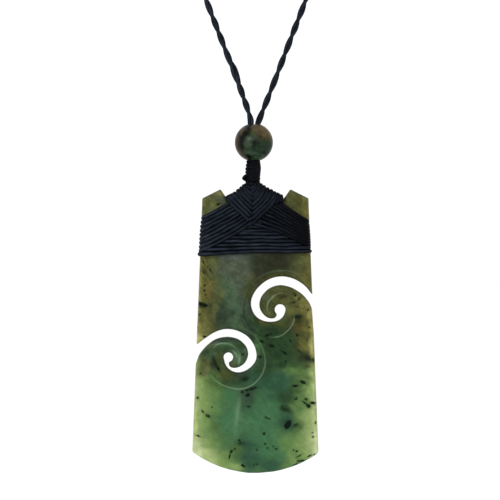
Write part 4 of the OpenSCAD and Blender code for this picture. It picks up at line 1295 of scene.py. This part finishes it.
rows = []
for step in np.linspace(0, 1, STEM_TURNS * STEPS_A_TURN):
    angle = 2 * math.pi * STEM_TURNS * step
    sway = WHIP_WOBBLE * noise.noise(Vector((step * 16, 4.0, 0.0))) + WHIP_TILT * math.cos(angle)
    height = STEM_FOOT_Z + (STEM_TOP_Z - STEM_FOOT_Z) * step
    radius = charted(STEM_WIDTHS, height) - WHIP_R
    radius += WHIP_UNEVEN * noise.noise(Vector((step * 9, 0.0, 5.0)))
    rows.append((STEM_X + radius * math.cos(angle), radius * math.sin(angle), height + sway))
whipping = sweep(hang(rows), WHIP_R, False)
core_heights = np.linspace(CORE_FROM, CORE_TO, 40)
core_rows = [(STEM_X + (bead_x - STEM_X) * fade(height, *CORE_LEANS), 0, height) for height in core_heights]
core = sweep(hang(core_rows), charted(STEM_WIDTHS, core_heights) - CORE_IN, False, 24)
nub = sweep(hang(smooth_curve(NUB, 28)), NUB_R, False)
stem = tie("whipped_stem", [whipping, core, nub])
print(f"stem {STEM_TOP_Z - STEM_FOOT_Z:.1f} mm tall")

# %% [markdown]
# The neck cord is two of the same strands twisted together. Its route is the one of the construction
# model: out of the bead, up each side and round behind the neck. Along it the two strands circle each
# other, so the cord looks wide where they lie side by side and narrow where one hides the other. The
# heights of the narrow places in front are charted, because a hand twist is never quite even, and the
# rest of the loop carries on at its usual pitch.

# %% Twist the neck cord
PLY_R = 0.56
PLY_ORBIT = 0.42          # less than their radius, because the two strands press into each other
HALF_TURN = 6.0           # usual length of cord from one narrow place to the next
RIGHT_NARROW = [23.6, 28.9, 35.2, 40.6, 46.3, 51.4]
LEFT_NARROW = [53.2, 48.5, 43.5, 37.8, 32.4, 27.7, 23.3]
STRAY_Z = 37.1            # height of a small loop that stands out of the left leg
STRAY_R = 0.32
STRAY = ((-6, 0.2), (-3, 0.7), (0, 1.0), (3, 1.05), (7, 0.9), (12, 0.5))   # steps down it, and how far out
LEFT_IN = 0.4             # the left leg hangs a little closer to the middle than the right,
IN_ABOVE, IN_BELOW = (20, 32), (60, 90)     # from the first heights up, and to the second
LINE_STEP = 0.45
ROUGH_POINTS = 400
LEAN_BACK = (0, 0.87, -0.49)    # a direction in which the loop never runs
# Half the loop, from inside the bead up towards the nape: x, y and z from the bead's middle, and how far it
# follows the bead's own place beside the middle.
CORD_HALF = [(1.0, 0, -3.8, 1), (1.0, 0, 4, 1), (1.03, 0.05, 5.4, 0.85), (1.75, 0.5, 8.2, 0.1),
             (4.95, 2.9, 16.5, 0), (9.7, 6.3, 29, 0), (17.3, 11.3, 49, 0), (29.6, 19.7, 82, 0),
             (42.3, 28.4, 116, 0), (54.3, 37, 149, 0), (61.3, 43.2, 169, 0), (65.4, 50, 184, 0),
             (66.8, 58.5, 194, 0), (65.3, 69, 201, 0), (61.5, 80, 205.5, 0), (55, 91, 208, 0),
             (46, 100, 209.2, 0), (34, 107.8, 209.8, 0), (18, 113.3, 210, 0)]


def leg(side):
    """Half of the route in the shared frame, in millimetres, from the bead up."""
    return [(side * w + bead_x * share, d + middle_y, h + (ear_z + bead_z)) for w, d, h, share in CORD_HALF]


route = leg(1) + [(0, 0, 0)] + leg(-1)[::-1]
rough_line = smooth_curve(route, ROUGH_POINTS)
cord_length = float(np.linalg.norm(np.diff(rough_line, axis=0), axis=1).sum())
line = smooth_curve(route, int(cord_length / LINE_STEP))
walked = np.linspace(0, cord_length, len(line))
heights = line[:, 2] - ear_z
line[:, 0] += LEFT_IN * (line[:, 0] < 0) * fade(heights, *IN_ABOVE) * (1 - fade(heights, *IN_BELOW))
nape = len(line) // 2
right_marks = np.interp(RIGHT_NARROW, heights[:nape], walked[:nape])
left_marks = np.interp(LEFT_NARROW[::-1], heights[:nape:-1], walked[:nape:-1])[::-1]
behind = round((left_marks[0] - right_marks[-1]) / HALF_TURN)
marks = [0, *right_marks, *left_marks, cord_length]
counts = [-right_marks[0] / HALF_TURN, *range(len(right_marks))]
counts += [counts[-1] + behind + k for k in range(len(left_marks))]
counts += [counts[-1] + (cord_length - left_marks[-1]) / HALF_TURN]
phase = math.pi * (0.5 + np.interp(walked, marks, counts))

way = np.gradient(line, axis=0)
way /= np.linalg.norm(way, axis=1)[:, None]
across = np.cross(way, LEAN_BACK)
across /= np.linalg.norm(across, axis=1)[:, None]
upward = np.cross(way, across)
plies = []
for start in (0, math.pi):
    swing = np.cos(phase + start)[:, None] * across + np.sin(phase + start)[:, None] * upward
    plies.append(sweep(line + PLY_ORBIT * swing, PLY_R, False, 12))
stray = nape + int(np.argmin(abs(heights[nape:] - STRAY_Z)))
stray_rows = [line[stray + step] + (out, -0.2, 0) for step, out in STRAY]
plies.append(sweep(smooth_curve(stray_rows, 30), STRAY_R, False))
cord = tie("twisted_neck_cord", plies)
print(f"loop {cord_length:.0f} mm long, {counts[-1]:.0f} half turns, {2 * len(cord.data.polygons)} triangles")

# %% [markdown]
# Waxed cord is nearly black. Its cold blue grey sheen is painted on: a painted highlight where a strand's
# surface faces level rather than up or down, stronger on the left of the blade, towards the key lamp, and
# uneven along each strand. Where a strand turns towards its neighbours the sheen fades, so between two strands
# it stays black, a painted shade. Long fibres run along each strand under the wax. They are drawn from the UV
# map: noise that is stretched along the strand and squeezed round it, so that it follows every bend.

# %% Waxed cord
# The second colour is the cord's painted sheen, a highlight on the strands.
BLACK_WAX, WAX_HIGHLIGHT = (9, 11, 15), (67, 76, 92)
SHEEN_HALF = 17            # the painted sheen goes from its left strength this far left of the middle to its right strength this far right
UNEVEN_SHEEN = (0.55, 1.45)


def waxed_cord(name, long, fine, depth, left_right_sheen):
    """Black waxed cord. Its fibres are this many millimetres long and this many to a turn round it. Its
    painted sheen has one strength at the left of the blade and another at the right."""
    material, tree, shader = new_material(name, Roughness=0.5, Specular_IOR_Level=0.03)
    strand = put(tree, "UVMap", uv_map="strand").outputs["UV"]
    fibre = put(tree, "Mapping", {"Vector": strand, "Scale": (1 / long, fine, 1)}).outputs["Vector"]
    fibre = put(tree, "TexNoise",
                {"Vector": fibre, "Scale": 1.0, "Detail": 4.0, "Roughness": 0.6}).outputs["Fac"]
    height = sums(tree, "ADD", fibre, times(tree, grain(tree, 2600, 3), 0.35))
    # The painted sheen varies slowly along each strand.
    sheen_along = put(tree, "Mapping", {"Vector": strand, "Scale": (0.06, 0, 1)}).outputs["Vector"]
    sheen_along = put(tree, "TexNoise", {"Vector": sheen_along, "Scale": 1.0, "Detail": 2.0}).outputs["Fac"]
    sheen_along = rescale(tree, sheen_along, (0.3, 0.7), UNEVEN_SHEEN)
    # Painted light from the left: the sheen is stronger at the left of the blade, towards the key lamp.
    across = put(tree, "SeparateXYZ", {0: put(tree, "TexCoord").outputs["Object"]}).outputs["X"]
    left_right_sheen = rescale(tree, across, (-SHEEN_HALF * MM, SHEEN_HALF * MM), left_right_sheen)
    # Painted highlight where the surface faces level, none where it turns up or down towards the next strand,
    # which keeps painted shade between strands.
    slope = put(tree, "SeparateXYZ", {0: put(tree, "NewGeometry").outputs["Normal"]}).outputs["Z"]
    highlight_on_tops = sums(tree, "POWER", sums(tree, "SUBTRACT", 1.0, times(tree, slope, slope)), 2.0)
    sheen = times(tree, times(tree, left_right_sheen, sheen_along), highlight_on_tops)
    bright = times(tree, ramp(tree, height, 0.4, 0.95), sheen)
    colour = tint(tree, bright, opaque(seen(*BLACK_WAX)), opaque(seen(*WAX_HIGHLIGHT)))
    dull = rescale(tree, grain(tree, 900, 3), (0, 1), (0.38, 0.62))
    surface(tree, shader, colour, dull, height, 0.6, depth)
    return material


LASHED, TWISTED = (3.5, 9, 0.08), (3.0, 8, 0.05)      # fibre length, fibres to a turn, and their depth
for piece, name, fibres, left_right_sheen, node, slot in (
        (level, "waxed_level_cord", LASHED, (0.64, 0.44), "level_lashing", "lashing_cord"),
        (slant, "waxed_slant_cord", LASHED, (0.68, 0.0), "slant_lashing", "lashing_cord"),
        (stem, "waxed_whipping_cord", LASHED, (0.12, 0.05), "stem_whipping", "lashing_cord"),
        (cord, "waxed_neck_cord", TWISTED, (0.5, 0.4), "neck_cord", "neck_cord")):
    piece.data.materials.append(waxed_cord(name, *fibres, left_right_sheen))
    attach(piece, "root")
    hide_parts(node)
    print(piece.name, "stands for", node)

# %% [markdown]
# The pendant was photographed against plain white, with light from all round. A wide pale floor under a white
# sky does the same from any side, and a large soft lamp on the left gives the bead its highlight and adds to
# the strands' sheen, which is also painted on the cord.

# %% Floor and light
FLOOR_DROP = 55.0         # how far the floor lies under the blade's lowest point
FLOOR_HALF = 9.0          # metres
PAPER = ((0.95, 0.95, 0.95), (0.97, 0.97, 0.97))
TENT_WHITE, TENT_LIGHT = (1, 1, 1), 1.08
AIM_Z = -25               # the lamps look at this height of the pendant

bpy.ops.object.select_all(action="DESELECT")
bpy.ops.mesh.primitive_plane_add(size=2 * FLOOR_HALF, location=place(0, -blade_height - FLOOR_DROP))
floor = settle(bpy.context.object)
floor.name = "pale_floor"
floor_material, floor_tree, floor_shader = new_material("pale_paper", Roughness=0.9)
paper = tint(floor_tree, grain(floor_tree, 3, 2), *[opaque(look) for look in PAPER])
floor_tree.links.new(paper, floor_shader.inputs["Base Color"])
floor.data.materials.append(floor_material)

world = bpy.data.worlds.new("white_tent")
world.use_nodes = True
tent = world.node_tree.nodes["Background"]
tent.inputs["Color"].default_value = opaque(TENT_WHITE)
tent.inputs["Strength"].default_value = TENT_LIGHT
bpy.context.scene.world = world


def soft_lamp(name, spot, size, power):
    """A square lamp that looks at the middle of the pendant."""
    data = bpy.data.lights.new(name, "AREA")
    data.size = size
    data.energy = power
    lamp = bpy.data.objects.new(name, data)
    lamp.location = spot
    aim = place(0, AIM_Z) - lamp.location
    lamp.rotation_euler = aim.to_track_quat("-Z", "Y").to_euler()
    bpy.context.scene.collection.objects.link(lamp)


soft_lamp("key", place(-350, 260, -620), 0.14, 2.5)
soft_lamp("fill", place(420, 60, -520), 0.5, 0.8)
print("stage is lit")
